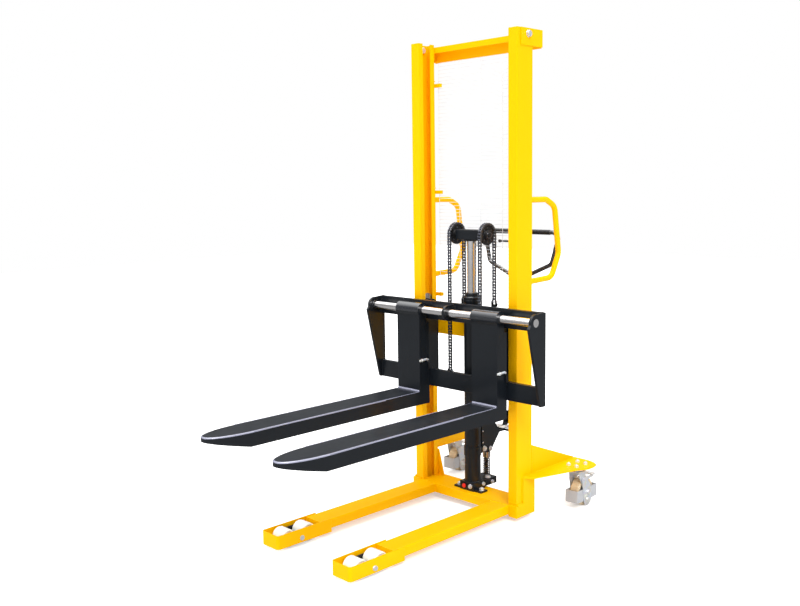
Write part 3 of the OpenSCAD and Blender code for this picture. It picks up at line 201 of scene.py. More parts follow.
YELLOW = (1.0, 0.50, 0.0)
MATS = {
    "yellow_paint": paint("yellow_powder_coat", YELLOW, 0.34, 0.10, 0.012, 0.0, 0.05),
    "black_paint": paint("black_powder_coat", (0.0060, 0.0082, 0.0115), 0.36, 0.12, 0.10, 0.32,
                         0.24),
    "black_gloss": paint("black_gloss_coat", (0.009, 0.011, 0.016), 0.20, 0.05, 0.05, 1.0, 0.6),
    "grey_paint": paint("grey_enamel", (0.42, 0.43, 0.45), 0.42, 0.12, 0.05),
    "chrome": metal("hard_chrome", (0.92, 0.90, 0.90), 0.14, 0.04, 0.05, (1600, 60, 60)),
    "zinc": metal("zinc_plate", (0.72, 0.76, 0.83), 0.36, 0.10, 0.10, tint=(0.76, 0.74, 0.69),
                  spangle=0.25, metallic=0.55),
    "machined_steel": metal("machined_steel", (0.50, 0.50, 0.51), 0.28, 0.08, 0.12),
    "black_steel": paint("black_oxide", (0.009, 0.009, 0.010), 0.40, 0.2, 0.2, 0.0, 0.35),
    "roller_steel": metal("dark_roller_steel", (0.10, 0.105, 0.135), 0.35, 0.1, 0.08,
                          metallic=0.6),
    # A light lavender grey under a glossy coat: a painted highlight on the forks' rounded rims and
    # edge rods.
    "painted_rim_highlight": paint("painted_highlight_rim_coat", (0.24, 0.245, 0.33), 0.24, 0.05, 0.06, 0.6, 0.6),
    "chain_steel": metal("oiled_chain_steel", (0.13, 0.135, 0.15), 0.30, 0.3, 0.08),
    "mesh_wire": paint("wire_coating", (0.82, 0.83, 0.85), 0.42, 0.1, 0.04),
    "nylon": plastic("white_nylon", (0.93, 0.91, 0.85), 0.42, 0.03, 0.25),
    "castor_tread": plastic("tan_castor_tread", (0.62, 0.47, 0.29), 0.45, 0.08, 0.0,
                            streak=(0.70, 0.60, 0.42)),
    "red_plastic": plastic("red_cap_plastic", (0.80, 0.02, 0.015), 0.30),
}
SLOT_OF = {s["node"]: s["material_slot"] for s in frame["record"]["subparts"]}
BODY_OF = {n: b for b, ns in frame["record"]["behaviour"]["bodies"].items() for n in ns}


# Mesh tools
class Shape:
    """Vertices in mm and faces with a material number."""

    def __init__(self, verts=(), faces=(), mats=None):
        self.verts = [Vector(v) for v in verts]
        self.faces = [tuple(f) for f in faces]
        self.mats = list(mats) if mats else [0] * len(self.faces)

    def add(self, other, matrix=None, mat=None):
        base = len(self.verts)
        if matrix is None:
            self.verts += other.verts
        else:
            self.verts += [matrix @ v for v in other.verts]
        flip = matrix is not None and matrix.to_3x3().determinant() < 0
        for f, m in zip(other.faces, other.mats):
            g = tuple(base + i for i in f)
            self.faces.append(g[::-1] if flip else g)
            self.mats.append(m if mat is None else mat)
        return self

    def moved(self, matrix):
        return Shape().add(self, matrix)

    def to_bmesh(self):
        mesh = bpy.data.meshes.new("scratch")
        mesh.from_pydata([tuple(v) for v in self.verts], [], self.faces)
        bm = bmesh.new()
        bm.from_mesh(mesh)
        bpy.data.meshes.remove(mesh)
        return bm

    @staticmethod
    def from_bmesh(bm):
        bm.verts.index_update()
        s = Shape([v.co.copy() for v in bm.verts],
                  [tuple(v.index for v in f.verts) for f in bm.faces])
        bm.free()
        return s

    def rounded(self, width, segs=2, angle=30, rule=None):
        """Rounds the edges that rule(middle, direction, length) gives a width, then the rest."""
        bm = self.to_bmesh()
        groups = {}
        if rule:
            for e in bm.edges:
                if len(e.link_faces) == 2 and e.calc_face_angle(0) > math.radians(angle):
                    a, b = e.verts[0].co, e.verts[1].co
                    w = rule((a + b) / 2, (b - a).normalized(), (b - a).length)
                    if w:
                        groups.setdefault(w, set()).add(mid_key(e))
            for w in sorted(groups, reverse=True):
                edges = [e for e in bm.edges if mid_key(e) in groups[w]]
                bevel(bm, edges, w, segs)
            angle = max(angle, 50)
        if width:
            edges = [e for e in bm.edges if len(e.link_faces) == 2
                     and e.calc_face_angle(0) > math.radians(angle)]
            bevel(bm, edges, width, segs)
        return Shape.from_bmesh(bm)


def mid_key(e):
    return tuple(round(c, 2) for c in (e.verts[0].co + e.verts[1].co) / 2)


def bevel(bm, edges, width, segs):
    if edges:
        bmesh.ops.bevel(bm, geom=edges, offset=width, offset_type="OFFSET", segments=segs,
                        profile=0.5, affect="EDGES", clamp_overlap=True)


def turn(axis):
    """A matrix that takes +Z to an axis."""
    return Vector(axis).to_track_quat("Z", "Y").to_matrix().to_4x4() if tuple(axis) != (0, 0, 1) \
        else Matrix.Identity(4)


def at(x, y, z, axis=(0, 0, 1), spin=0.0):
    """The place of a shape whose +Z points along an axis, spun about it."""
    return Matrix.Translation((x, y, z)) @ turn(axis) @ Matrix.Rotation(spin, 4, "Z")


MIRROR = Matrix.Scale(-1, 4, (1, 0, 0))
# Takes an outline drawn in Y and Z and raised along X to its place.
SIDE_PLANE = Matrix(((0, 0, 1, 0), (1, 0, 0, 0), (0, 1, 0, 0), (0, 0, 0, 1)))


def banded(verts, segs, closed=False):
    """A shape with quads between rings of segs vertices, capped at both ends unless closed."""
    faces = []
    rings = len(verts) // segs
    for i in range(rings if closed else rings - 1):
        j = (i + 1) % rings
        for k in range(segs):
            q = (k + 1) % segs
            faces.append((i * segs + k, i * segs + q, j * segs + q, j * segs + k))
    if not closed:
        faces.append(tuple(range(segs))[::-1])
        faces.append(tuple((rings - 1) * segs + k for k in range(segs)))
    return Shape(verts, faces)


def polar(r, a):
    return r * math.cos(a), r * math.sin(a)


def lathe(profile, segs=48, closed=False):
    """Turns a list of (radius, height) about Z. An open profile is closed at its ends."""
    angles = [2 * PI * k / segs for k in range(segs)]
    return banded([(*polar(r, a), h) for r, h in profile for a in angles], segs, closed)


def disc(half, width, segs=96):
    """A wheel turned from half of its profile, which is mirrored at half its width."""
    return lathe(half + [(r, width - z) for r, z in half[::-1]], segs, closed=True)


def rod(r, h, chamfer=0.8, segs=40):
    return lathe([(r - chamfer, 0), (r - chamfer * 0.3, chamfer * 0.3), (r, chamfer),
                  (r, h - chamfer), (r - chamfer * 0.3, h - chamfer * 0.3), (r - chamfer, h)], segs)


def ring(r_in, r_out, h, chamfer=0.6, segs=40):
    c = chamfer
    return lathe([(r_in, c), (r_in + c, 0), (r_out - c, 0), (r_out, c), (r_out, h - c),
                  (r_out - c, h), (r_in + c, h), (r_in, h - c)], segs, closed=True)


def hex_head(across, h):
    """A hexagon head whose crown is cut by a cone at 30 degrees, flats on the X axis."""
    flat, segs = across / 2, 48
    angles = [2 * PI * k / segs for k in range(segs)]
    radius = [flat / math.cos((a + PI / 6) % (PI / 3) - PI / 6) for a in angles]
    drop = [max(0.0, r - flat * 0.97) * math.tan(math.radians(30)) for r in radius]
    rows = [[(r * 0.985, 0.0) for r in radius],
            [(r, h * 0.06) for r in radius],
            [(r, h - d) for r, d in zip(radius, drop)],
            [(flat * 0.97, h)] * segs]
    return banded([(*polar(r, a), z) for row in rows for (r, z), a in zip(row, angles)], segs)


def bolt(across, h, washer=0.0, stub=0.0, shank=5.0):
    """A bolt head or nut on its washer, with a short threaded end if stub is given."""
    s = Shape()
    if washer:
        s.add(ring(shank * 0.6, across * 0.62, washer, 0.3))
    s.add(hex_head(across, h), at(0, 0, washer))
    if stub:
        s.add(thread(shank, stub), at(0, 0, washer + h - 0.5))
    return s


def thread(r, h, pitch=1.5):
    """A threaded end, cut as close rings with a chamfered point."""
    rows = [(r * 0.9, 0.0)]
    turns = max(1, int(h / pitch) - 1)
    for i in range(turns):
        z = i * pitch
        rows += [(r * 0.88, z + 0.1 * pitch), (r, z + 0.5 * pitch), (r * 0.88, z + 0.9 * pitch)]
    rows += [(r * 0.86, turns * pitch + 0.1), (r * 0.72, h)]
    return lathe(rows, 24)


def frames(path):
    """Tangent, side and up at each point, without twist."""
    tangents = [(b - a).normalized() for a, b in zip(path[:1] + path[:-1], path[1:] + path[-1:])]
    side = tangents[0].orthogonal().normalized()
    out = []
    for i, t in enumerate(tangents):
        if i:
            side = (tangents[i - 1].rotation_difference(t)) @ side
        side = (side - t * side.dot(t)).normalized()
        out.append((t, side, t.cross(side)))
    return out


def tube(path, radius, sides=20, cap=1.0):
    """A round tube along a path; radius may be a list. Its ends are chamfered by cap."""
    path = [Vector(p) for p in path]
    radii = list(radius) if isinstance(radius, (list, tuple)) else [radius] * len(path)
    if cap:
        d0 = (path[1] - path[0]).normalized() * cap
        d1 = (path[-1] - path[-2]).normalized() * cap
        path = [path[0], path[0] + d0] + path[1:-1] + [path[-1] - d1, path[-1]]
        radii = [radii[0] - cap, radii[0]] + radii[1:-1] + [radii[-1], radii[-1] - cap]
    verts = []
    for p, r, (_, a, b) in zip(path, radii, frames(path)):
        for k in range(sides):
            w = 2 * PI * k / sides
            verts.append(p + a * (r * math.cos(w)) + b * (r * math.sin(w)))
    return banded(verts, sides)


def bent(points, r, n=8):
    """A path with round bends of radius r at its inner corners."""
    pts = [Vector(p) for p in points]
    out = [pts[0]]
    for i in range(1, len(pts) - 1):
        b = pts[i]
        u, v = (pts[i - 1] - b), (pts[i + 1] - b)
        lu, lv = u.length, v.length
        u.normalize()
        v.normalize()
        half = u.angle(v) / 2
        reach = min(r / math.tan(half), 0.48 * lu, 0.48 * lv)
        rr = reach * math.tan(half)
        o = b + (u + v).normalized() * (rr / math.sin(half))
        s, e = b + u * reach, b + v * reach
        e1 = (s - o).normalized()
        e2 = (e - o)
        e2 = (e2 - e1 * e2.dot(e1)).normalized()
        sweep = PI - 2 * half
        out += [o + e1 * (rr * math.cos(sweep * k / n)) + e2 * (rr * math.sin(sweep * k / n))
                for k in range(n + 1)]
    out.append(pts[-1])
    return out


def prism(outline, h, width=0.0, segs=2, angle=30):
    """An outline in X and Y, raised along Z by h, with rounded edges."""
    n = len(outline)
    verts = [(x, y, 0.0) for x, y in outline] + [(x, y, h) for x, y in outline]
    faces = [tuple(range(n))[::-1], tuple(range(n, 2 * n))]
    faces += [(i, (i + 1) % n, n + (i + 1) % n, n + i) for i in range(n)]
    s = Shape(verts, faces)
    return s.rounded(width, segs, angle) if width else s


def arc_points(cy, cz, r, a0, a1, n):
    """Points on an arc round (cy, cz), from angle a0 to a1 in degrees."""
    return [(cy + r * math.cos(math.radians(a0 + (a1 - a0) * k / n)),
             cz + r * math.sin(math.radians(a0 + (a1 - a0) * k / n))) for k in range(n + 1)]


def slab(low, high, width=0.0, segs=2):
    (x0, y0, z0), (x1, y1, z1) = low, high
    s = prism([(x0, y0), (x1, y0), (x1, y1), (x0, y1)], z1 - z0).moved(at(0, 0, z0))
    return s.rounded(width, segs) if width else s


def bead(points, r, step=2.2):
    """A weld bead along straight stretches: ripples, a little uneven."""
    path, radii, wave = [], [], 0.16
    pts = [Vector(p) for p in points]
    for a, b in zip(pts, pts[1:]):
        n = max(2, int((b - a).length / step))
        for i in range(n):
            path.append(a.lerp(b, i / n) + Vector([RNG.uniform(-0.12, 0.12) * r for _ in "xyz"]))
            radii.append(r * (1 + (wave if i % 2 else -wave * 0.5) + RNG.uniform(-0.06, 0.06)))
    path.append(pts[-1])
    radii.append(r * 0.7)
    radii[0] = r * 0.7
    return tube(path, radii, 8, 0)


def from_cad(node):
    """The CAD node's own shape in mm, its flat faces whole again."""
    bm = bmesh.new()
    bm.from_mesh(frame["nodes"][node].data)
    bmesh.ops.remove_doubles(bm, verts=bm.verts, dist=2e-6)
    bmesh.ops.dissolve_limit(bm, angle_limit=math.radians(1.0), verts=bm.verts, edges=bm.edges)
    bm.transform(TO_MM)
    return Shape.from_bmesh(bm)


def make(name, shape, body, slots, replaces=(), smooth=35, weighted=True):
    """Makes the piece, with a material slot for each name in slots, in their order."""
    slots = [slots] if isinstance(slots, str) else list(slots)
    mesh = bpy.data.meshes.new(name)
    mesh.from_pydata([tuple(TO_ROW @ v) for v in shape.verts], [], shape.faces)
    for s in slots:
        mesh.materials.append(MATS[s])
    mesh.polygons.foreach_set("material_index", shape.mats)
    mesh.polygons.foreach_set("use_smooth", [True] * len(mesh.polygons))
    mesh.update()
    mesh.set_sharp_from_angle(angle=math.radians(smooth))
    piece = bpy.data.objects.new(name, mesh)
    bpy.context.scene.collection.objects.link(piece)
    if weighted:
        mod = piece.modifiers.new("even_normals", "WEIGHTED_NORMAL")
        mod.keep_sharp = True
        mod.weight = 60
    if body:
        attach(piece, body)
    if replaces:
        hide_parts(*([replaces] if isinstance(replaces, str) else replaces))
    return piece


def dress(node, width, segs=2, rule=None, extra=None):
    """The CAD node with rounded edges and any added detail, in its place."""
    shape = from_cad(node).rounded(width, segs, rule=rule)
    if extra is not None:
        shape.add(extra)
    return make(node + "_dressed", shape, BODY_OF[node], SLOT_OF[node], node)


def both(shape):
    return Shape().add(shape).add(shape, MIRROR)


def node_box(node):
    a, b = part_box(node)
    return TO_MM @ a, TO_MM @ b


# Sizes from the CAD
MAST_X, INNER_X, MAST_D = 303.5, 255.5, 104.5
LEG_TOP, LEG_X, LEG_IN, LEG_OUT = 68.0, 217.75, 168.0, 267.5
LEG_TIP, TOE_REAR, TOE_HALF = -700.0, -646.0, 53.75
BOGIE_Y, BOGIE_Z, ROLLER_Z, ROLLER_HALF_PITCH = -803.0, 33.0, 37.0, 51.0
CHAIN_X, LIFT_Y, WHEEL_Z, PITCH, TEETH = 89.0, 62.0, 1229.0, 12.7, 24
CHAIN_R = PITCH / 2 / math.sin(PI / TEETH)
SHAFT_Y, SHAFT_Z, CARRIAGE_X = -97.7, 895.6, 479.0
BAR_REAR, BAR_FRONT = -33.5, -56.0
FORK_X, FORK_HALF, BLADE_TOP, FORK_TIP = 225.0, 70.5, 525.0, -1211.4
SHANK_REAR, SHANK_FRONT, SLEEVE_R = -56.4, -118.4, 31.0
CASTOR_X, CASTOR_Y, CASTOR_TURN = 373.0, 346.0, math.radians(3)
PLATE_Z, PLATE_TOP = 185.0, 193.0
PLUNGER_Y, PIVOT_Y, PIVOT_Z = 160.0, 114.0, 248.0
TILLER_FOOT, LEAN = (340.0, 352.0), math.radians(5)
X_AXIS, Y_AXIS, Z_AXIS = (1, 0, 0), (0, 1, 0), (0, 0, 1)


def near(a, b, tol=0.6):
    return abs(a - b) < tol


# Mast and base
def upright_rule(mid, way, length):
    corner = (near(abs(mid.x), MAST_X) or near(abs(mid.x), INNER_X)) and \
        (near(mid.y, 0) or near(mid.y, MAST_D))
    return 4.5 if corner and abs(way.z) > 0.99 else 0


for side in ("left", "right"):
    dress(side + "_upright", 1.0, 3, upright_rule)
dress("top_beam", 1.6)
dress("end_plates", 1.2)
dress("mid_beam", 1.5)


def leg_rule(mid, way, length):
    outer = near(abs(mid.x), LEG_IN) or near(abs(mid.x), LEG_OUT)
    level = near(mid.z, LEG_TOP) or near(mid.z, 27.5)
    return 4.5 if outer and level and abs(way.y) > 0.99 and length > 100 else 0


def beam_rule(mid, way, length):
    face = near(mid.y, -11) or near(mid.y, 128)
    return 4.5 if face and abs(way.x) > 0.99 and near(mid.z, LEG_TOP) and length > 80 else 0


dress("legs", 0.9, 3, leg_rule)
dress("base_beam", 0.9, 3, beam_rule)
dress("toe_boxes", 1.3, 3)
dress("frame_gussets", 1.2)
dress("castor_plates", 1.4)
dress("guard_tabs", 1.4)

welds = Shape()
WELD_X = MAST_X + 0.5
for p in (
    [(LEG_IN + 6, -11, LEG_TOP - 0.6), (LEG_OUT - 4, -11, LEG_TOP - 0.6)],
    [(INNER_X - 1, 0, LEG_TOP), (LEG_OUT - 4, 0, LEG_TOP)],
    [(INNER_X, 6, LEG_TOP), (INNER_X, MAST_D - 4, LEG_TOP)],
    [(WELD_X, 40, PLATE_TOP), (WELD_X, CASTOR_Y + 70, PLATE_TOP)],
    [(MAST_X - 8.5, MAST_D + 3, PLATE_TOP), (MAST_X - 8.5, CASTOR_Y + 70, PLATE_TOP)],
    [(MAST_X, MAST_D + 0.3, PLATE_TOP + 4), (MAST_X, MAST_D + 0.3, PLATE_TOP + 122)],
    [(MAST_X, -0.5, 22), (MAST_X, -0.5, 70)],
    [(WELD_X, 2, 78.4), (WELD_X, 36, 78.4)],
    [(WELD_X, 36.6, 82), (WELD_X, 36.6, PLATE_TOP - 2)],
    [(WELD_X, MAST_D, 22), (WELD_X, MAST_D, PLATE_Z - 2)],
    [(WELD_X, 42, PLATE_Z), (WELD_X, MAST_D, PLATE_Z)],
    *[[(LEG_X + dx, LEG_TIP + 3, LEG_TOP + 0.3), (LEG_X + dx, TOE_REAR - 2, LEG_TOP + 0.3)]
      for dx in (-49.75, 49.75)],
    *[[(LEG_X + dx, TOE_REAR, 28), (LEG_X + dx, TOE_REAR, LEG_TOP - 3)] for dx in (-50, 50)],
    [(INNER_X - 2, MAST_D + 0.4, LEG_TOP + 8), (INNER_X - 2, MAST_D + 0.4, LEG_TOP + 120)],
    [(INNER_X - 28, MAST_D - 0.2, LEG_TOP), (INNER_X + 8, MAST_D - 0.2, LEG_TOP)],
    [(INNER_X - 28, MAST_D + 8.4, LEG_TOP), (INNER_X + 8, MAST_D + 8.4, LEG_TOP)],
):
    welds.add(both(bead(p, 2.6)))
for x, y in ((MAST_X, 160.5), (MAST_X, 110)):
    welds.add(both(bead([(x, y, 2010), (x, y, 2064)], 2.0)))
for z in (950.9, 1427.4, 1909.9):
    for dz in (-8, 8):
        welds.add(both(bead([(INNER_X - 1, MAST_D + 0.4, z + dz),
                             (INNER_X + 11, MAST_D + 0.4, z + dz)], 1.8)))


def ring_bead(centre, axis, radius, r=2.4, n=90):
    m = at(*centre, axis)
    pts = [m @ Vector((*polar(radius, 2 * PI * k / n), 0)) for k in range(n + 1)]
    return bead(pts, r, step=2 * PI * radius / n * 0.99)


HANDLE_X, HANDLE_TOP, HANDLE_LOW = MAST_X - 20, 1381, 1033
for z in (HANDLE_TOP, HANDLE_LOW):
    welds.add(both(ring_bead((HANDLE_X, MAST_D + 0.8, z), Y_AXIS, 12.6)))
make("frame_welds", welds, "root", "yellow_paint", smooth=60, weighted=False)

handle_bends = ((MAST_D - 0.5, HANDLE_TOP), (225, HANDLE_TOP), (287, 1350), (318, 1141),
                (266, 1040), (MAST_D - 0.5, HANDLE_LOW))
handle = bent([(HANDLE_X, y, z) for y, z in handle_bends], 46, 10)
make("grab_handle_tubes", both(tube(handle, 12.5, 28, 0.5)), "root", "yellow_paint",
     "grab_handles", smooth=60)


# Bolts of the frame
castor_plate = at(CASTOR_X, CASTOR_Y, 0, Z_AXIS, -CASTOR_TURN)
right_bolts = Shape()
TOP_BOLT = (69, 2057)
right_bolts.add(bolt(24, 8.6, 1.0, 0, 8), at(MAST_X + 4.5, *TOP_BOLT, X_AXIS, 0.3))
right_bolts.add(bolt(24, 8.0, 1.6, 0, 8), at(MAST_X - 6, *TOP_BOLT, (-1, 0, 0), 0.1))
for n, (x, y) in enumerate(((-22, -32), (-22, 32), (22, -32), (22, 32))):
    v = castor_plate @ Vector((x, y, 0))
    right_bolts.add(bolt(16, 6.5, 1.6, 5, 5), at(v.x, v.y, PLATE_TOP, Z_AXIS, 0.7 * n))
    right_bolts.add(bolt(16, 6.0), at(v.x, v.y, PLATE_Z - 5, (0, 0, -1), 0.4 * n))
right_bolts.add(bolt(17, 6.2, 1.3, 0, 8), at(LEG_X + TOE_HALF, BOGIE_Y, BOGIE_Z, X_AXIS, 0.2))
right_bolts.add(rod(11, 2.4, 0.8), at(LEG_X - TOE_HALF, BOGIE_Y, BOGIE_Z, (-1, 0, 0)))
right_bolts.add(rod(8, 2 * TOE_HALF, 0.4), at(LEG_X - TOE_HALF, BOGIE_Y, BOGIE_Z, X_AXIS))
right_bolts.add(bolt(21, 5, 1.2, 0, 7), at(26, PIVOT_Y, PIVOT_Z, X_AXIS, 0.25))
bolts = both(right_bolts).add(rod(7, 52, 0.3), at(-26, PIVOT_Y, PIVOT_Z, X_AXIS))
make("frame_bolt_heads", bolts, "root", "zinc", "frame_bolts", smooth=32)


# Wire guard
GUARD_LOW, GUARD_HIGH, GUARD_HALF, WIRE_EDGE = 820.0, 2001.5, 252.0, 1.3
LEVEL_WIRES, UPRIGHT_WIRES, WIRE_STEPS = 74, 5, 12
LEVEL_Y, UPRIGHT_Y, RISE_STEPS = 122.9, 124.7, 24
guard_h = GUARD_HIGH - GUARD_LOW
wires = Shape()
for k in range(LEVEL_WIRES):
    z = GUARD_LOW + WIRE_EDGE + (guard_h - 2 * WIRE_EDGE) * k / (LEVEL_WIRES - 1)
    path = [(-GUARD_HALF + 2 * GUARD_HALF * i / WIRE_STEPS, LEVEL_Y + RNG.uniform(-0.15, 0.15),
             z + RNG.uniform(-0.35, 0.35)) for i in range(WIRE_STEPS + 1)]
    wires.add(tube(path, 0.95, 8, 0.3))
for i in range(UPRIGHT_WIRES):
    x = -GUARD_HALF + WIRE_EDGE + 2 * (GUARD_HALF - WIRE_EDGE) * i / (UPRIGHT_WIRES - 1)
    wires.add(tube([(x, UPRIGHT_Y, GUARD_LOW + guard_h * j / RISE_STEPS)
                    for j in range(RISE_STEPS + 1)], 1.1, 10, 0.3))
make("guard_wires", wires, "root", "mesh_wire", "guard_mesh", smooth=60, weighted=False)


# Lift cylinder
LIFT_AXIS = at(0, LIFT_Y, 0)
TUBE_LOW, TUBE_TOP, BAR_LOW, BAR_TOP = 76, 929, 1206, 1251
tube_shape = lathe([(20, TUBE_LOW), (35.8, TUBE_LOW), (36.5, TUBE_LOW + 1), (36.5, TUBE_TOP - 5),
                    (37.3, TUBE_TOP - 3), (37.3, TUBE_TOP), (20, TUBE_TOP)], 72)
make("cylinder_barrel", tube_shape.moved(LIFT_AXIS), "root",
     "black_paint", "cylinder_tube")
head_rows = [(21.1, TUBE_TOP), (37.3, TUBE_TOP), (38.5, 930.2), (38.5, 938), (37.7, 938.8),
             (37.7, 941), (38.5, 941.8), (38.5, 950.5), (35.5, 954), (28.6, 954), (28, 954.8),
             (28, 967.6), (26.6, 969), (25.6, 969), (25.2, 968), (25.2, 966), (21.1, 966)]
head = lathe(head_rows, 72, closed=True)
seal = lathe([(21.15, 966), (25, 966), (25, 969.5), (23.4, 971.5), (21.15, 971.8)], 56,
             closed=True)
gland = Shape().add(head).add(seal, None, 1)
for k in range(4):
    a = PI / 4 + k * PI / 2
    gland.add(rod(3.2, 1.2, 0.4, 20), at(*polar(38.4, a), 946, (*polar(1, a), 0)), 1)
make("cylinder_gland", gland.moved(LIFT_AXIS), "root",
     ["black_paint", "black_steel"], "cylinder_head")
rod_box = node_box("piston_rod")
make("piston_rod_bar", lathe([(20, rod_box[0].z), (21, rod_box[0].z + 1),
                              (21, BAR_LOW - 1), (21, BAR_LOW)], 72).moved(LIFT_AXIS),
     "crosshead", "chrome", "piston_rod")

cross = slab((-74, LIFT_Y - 25, BAR_LOW), (74, LIFT_Y + 25, BAR_TOP), 3.5, 3)
cross.add(lathe([(21.2, BAR_LOW - 5), (26, BAR_LOW - 5), (28, BAR_LOW - 3), (28, BAR_LOW + 0.5),
                 (21.2, BAR_LOW + 0.5)], 56, closed=True), LIFT_AXIS)
side_parts = Shape()
side_parts.add(rod(10, 33.5, 1.2), at(73.5, LIFT_Y, WHEEL_Z, X_AXIS), 1)
side_parts.add(ring(10.2, 17, 3.2, 0.5), at(CHAIN_X - 16, LIFT_Y, WHEEL_Z, X_AXIS), 1)
side_parts.add(ring(9.8, 16, 2.0, 0.4), at(CHAIN_X + 12.6, LIFT_Y, WHEEL_Z, X_AXIS), 2)
side_parts.add(tube([(CHAIN_X + 16.2, LIFT_Y - 13, WHEEL_Z - 3),
                     (CHAIN_X + 16.2, LIFT_Y + 13, WHEEL_Z + 3)], 1.6, 10, 0.3), None, 1)
cross.add(both(side_parts))
make("crosshead_bar", cross, "crosshead", ["black_paint", "black_steel", "chain_steel"],
     "crosshead")


# Chain wheels
def chain_wheel_shape():
    """A grooved wheel: the chain's rollers sit on its rim, between its hub's two ends."""
    rim = CHAIN_R - 4.1
    half = [(10.1, -12), (20.5, -12), (22, -10.5), (22, -3.6), (23, -2.4), (38, -2.4),
            (39.5, -3.5), (rim, -3.5), (rim, -1.9)]
    s = disc(half, 0, TEETH * 12)
    for k in range(8):
        a = 2 * PI * k / 8
        x, y = polar(31, a)
        for way in (-1, 1):
            s.add(bolt(6.5, 1.9), at(x, y, 2.2 * way, (0, 0, way), a), 1)
    for way in (-1, 1):
        s.add(ring(12.5, 15.5, 0.8, 0.2), at(0, 0, 11.7 * way, (0, 0, way)), 1)
    return s


wheel_shape = chain_wheel_shape()
for side, x in (("left", -CHAIN_X), ("right", CHAIN_X)):
    node = side + "_chain_wheel"
    place = at(x, LIFT_Y, WHEEL_Z) @ Matrix.Rotation(PI / 2, 4, "Y")
    make(node + "_sheave", wheel_shape.moved(place), node, ["black_steel", "chain_steel"], node)


# Chains
def link_plate(x0):
    """A chain plate between two pins a pitch apart along +Z, flat across X."""
    thick, half, waist = 1.8, 5.8, 4.3
    pts = arc_points(0, 0, half, -152.5, -27.5, 10) + [(waist, PITCH / 2)]
    pts += arc_points(0, PITCH, half, 27.5, 152.5, 10) + [(-waist, PITCH / 2)]
    return prism(pts, thick).rounded(0.35, 1, 50).moved(at(x0, 0, 0) @ SIDE_PLANE)


def link_shapes():
    inner, outer = Shape(), Shape()
    for x0 in (-7.0, 5.2):
        inner.add(link_plate(x0))
    for x0 in (-8.9, 7.1):
        outer.add(link_plate(x0))
    for z in (0, PITCH):
        inner.add(ring(2.1, 3.95, 10.3, 0.3, 20), at(-5.15, 0, z, X_AXIS), 1)
        outer.add(rod(2.0, 18.4, 0.4, 14), at(-9.2, 0, z, X_AXIS), 1)
    return inner, outer


LINKS = link_shapes()


def chain(pins, first):
    """Links along pins given as (y, z), alternating from kind first."""
    s = Shape()
    for i, ((y0, z0), (y1, z1)) in enumerate(zip(pins, pins[1:])):
        way = Vector((0, y1 - y0, z1 - z0))
        twist = math.atan2(-way.y, way.z)
        s.add(LINKS[(i + first) % 2], at(0, y0, z0) @
              Matrix.Rotation(twist, 4, "X") @ Matrix.Scale(way.length / PITCH, 4, (0, 0, 1)))
    return s


def two_runs(shape):
    return Shape().add(shape, at(CHAIN_X, 0, 0)).add(shape, at(-CHAIN_X, 0, 0))


def stretched_run(name, pins, first, replaces, groups):
    """A straight run made in groups of links, each group a piece of its own."""

    size = math.ceil((len(pins) - 1) / groups)
    for g, start in enumerate(range(0, len(pins) - 1, size)):
        part = pins[start:start + size + 1]
        shape = two_runs(chain(part, first + start))
        piece = make(f"{name}_{g + 1:02d}", shape, None, ["chain_steel", "roller_steel"],
                     replaces if g == 0 else (), smooth=40, weighted=False)
        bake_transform(piece)


HALF = math.radians(180 / TEETH)
arc = [(LIFT_Y - CHAIN_R * math.cos(HALF * (2 * k + 1)), WHEEL_Z + CHAIN_R *
        math.sin(HALF * (2 * k + 1))) for k in range(12)]
front_y, rear_y = LIFT_Y - CHAIN_R, LIFT_Y + CHAIN_R
top_pin = WHEEL_Z - PITCH / 2
front_pins = [(front_y, top_pin - PITCH * k) for k in range(49)]
rear_pins = [(rear_y, top_pin - PITCH * k) for k in range(24)]
make("wheel_chain_links", two_runs(chain([front_pins[0]] + arc + [rear_pins[0]], 0)),
     "crosshead", ["chain_steel", "roller_steel"], "wheel_chains", smooth=40, weighted=False)
stretched_run("front_chain_links", front_pins, 1, "front_chains", 12)
stretched_run("rear_chain_links", rear_pins, 1, "rear_chains", 6)


def clevis_shape(pin_z, y, low):
    """A forked chain end round the last pin, with its pin's head and split pin."""
    s = Shape()
    body = prism([(-7, low), (7, low), (7, pin_z), (5.2, pin_z + 5), (0, pin_z + 7),
                  (-5.2, pin_z + 5), (-7, pin_z)], 3.6, 0.8, 2, 50)
    for x0 in (-12.9, 9.3):
        s.add(body, at(x0, y, 0) @ SIDE_PLANE)
    s.add(slab((-12.9, y - 6.9, low - 2), (12.9, y + 6.9, low + 7), 1.2))
    s.add(rod(3.0, 28, 0.4, 24), at(-14, y, pin_z, X_AXIS), 1)
    s.add(rod(5.4, 2.4, 0.6, 24), at(12.9, y, pin_z, X_AXIS), 1)
    s.add(rod(5.0, 1.4, 0.4, 24), at(-12.9, y, pin_z, (-1, 0, 0)), 1)
    s.add(tube([(-15.2, y - 5, pin_z - 4), (-15.2, y + 5, pin_z + 4)], 0.8, 8, 0.2), None, 1)
    return s


REAR_CLEVIS, FRONT_CLEVIS = 911, 587
rear_anchor = clevis_shape(rear_pins[-1][1], rear_y, REAR_CLEVIS)
rear_anchor.add(thread(6, 89, 1.75), at(0, rear_y, 822), 1)
rear_anchor.add(bolt(19, 8, 2.0, 0, 6), at(0, rear_y, 845), 1)
rear_anchor.add(hex_head(19, 6), at(0, rear_y, 855.2, Z_AXIS, 0.35), 1)
make("rear_chain_ends", two_runs(rear_anchor), "root", ["black_steel", "zinc"],
     "rear_chain_anchors", smooth=32)
front_anchor = clevis_shape(front_pins[-1][1], front_y, FRONT_CLEVIS)
front_anchor.add(slab((-13, BAR_REAR - 0.5, FRONT_CLEVIS), (13, front_y - 6, FRONT_CLEVIS + 22),
                      1.5))
make("front_chain_ends", two_runs(front_anchor), "carriage", ["black_steel", "zinc"],
     "front_chain_anchors", smooth=32)


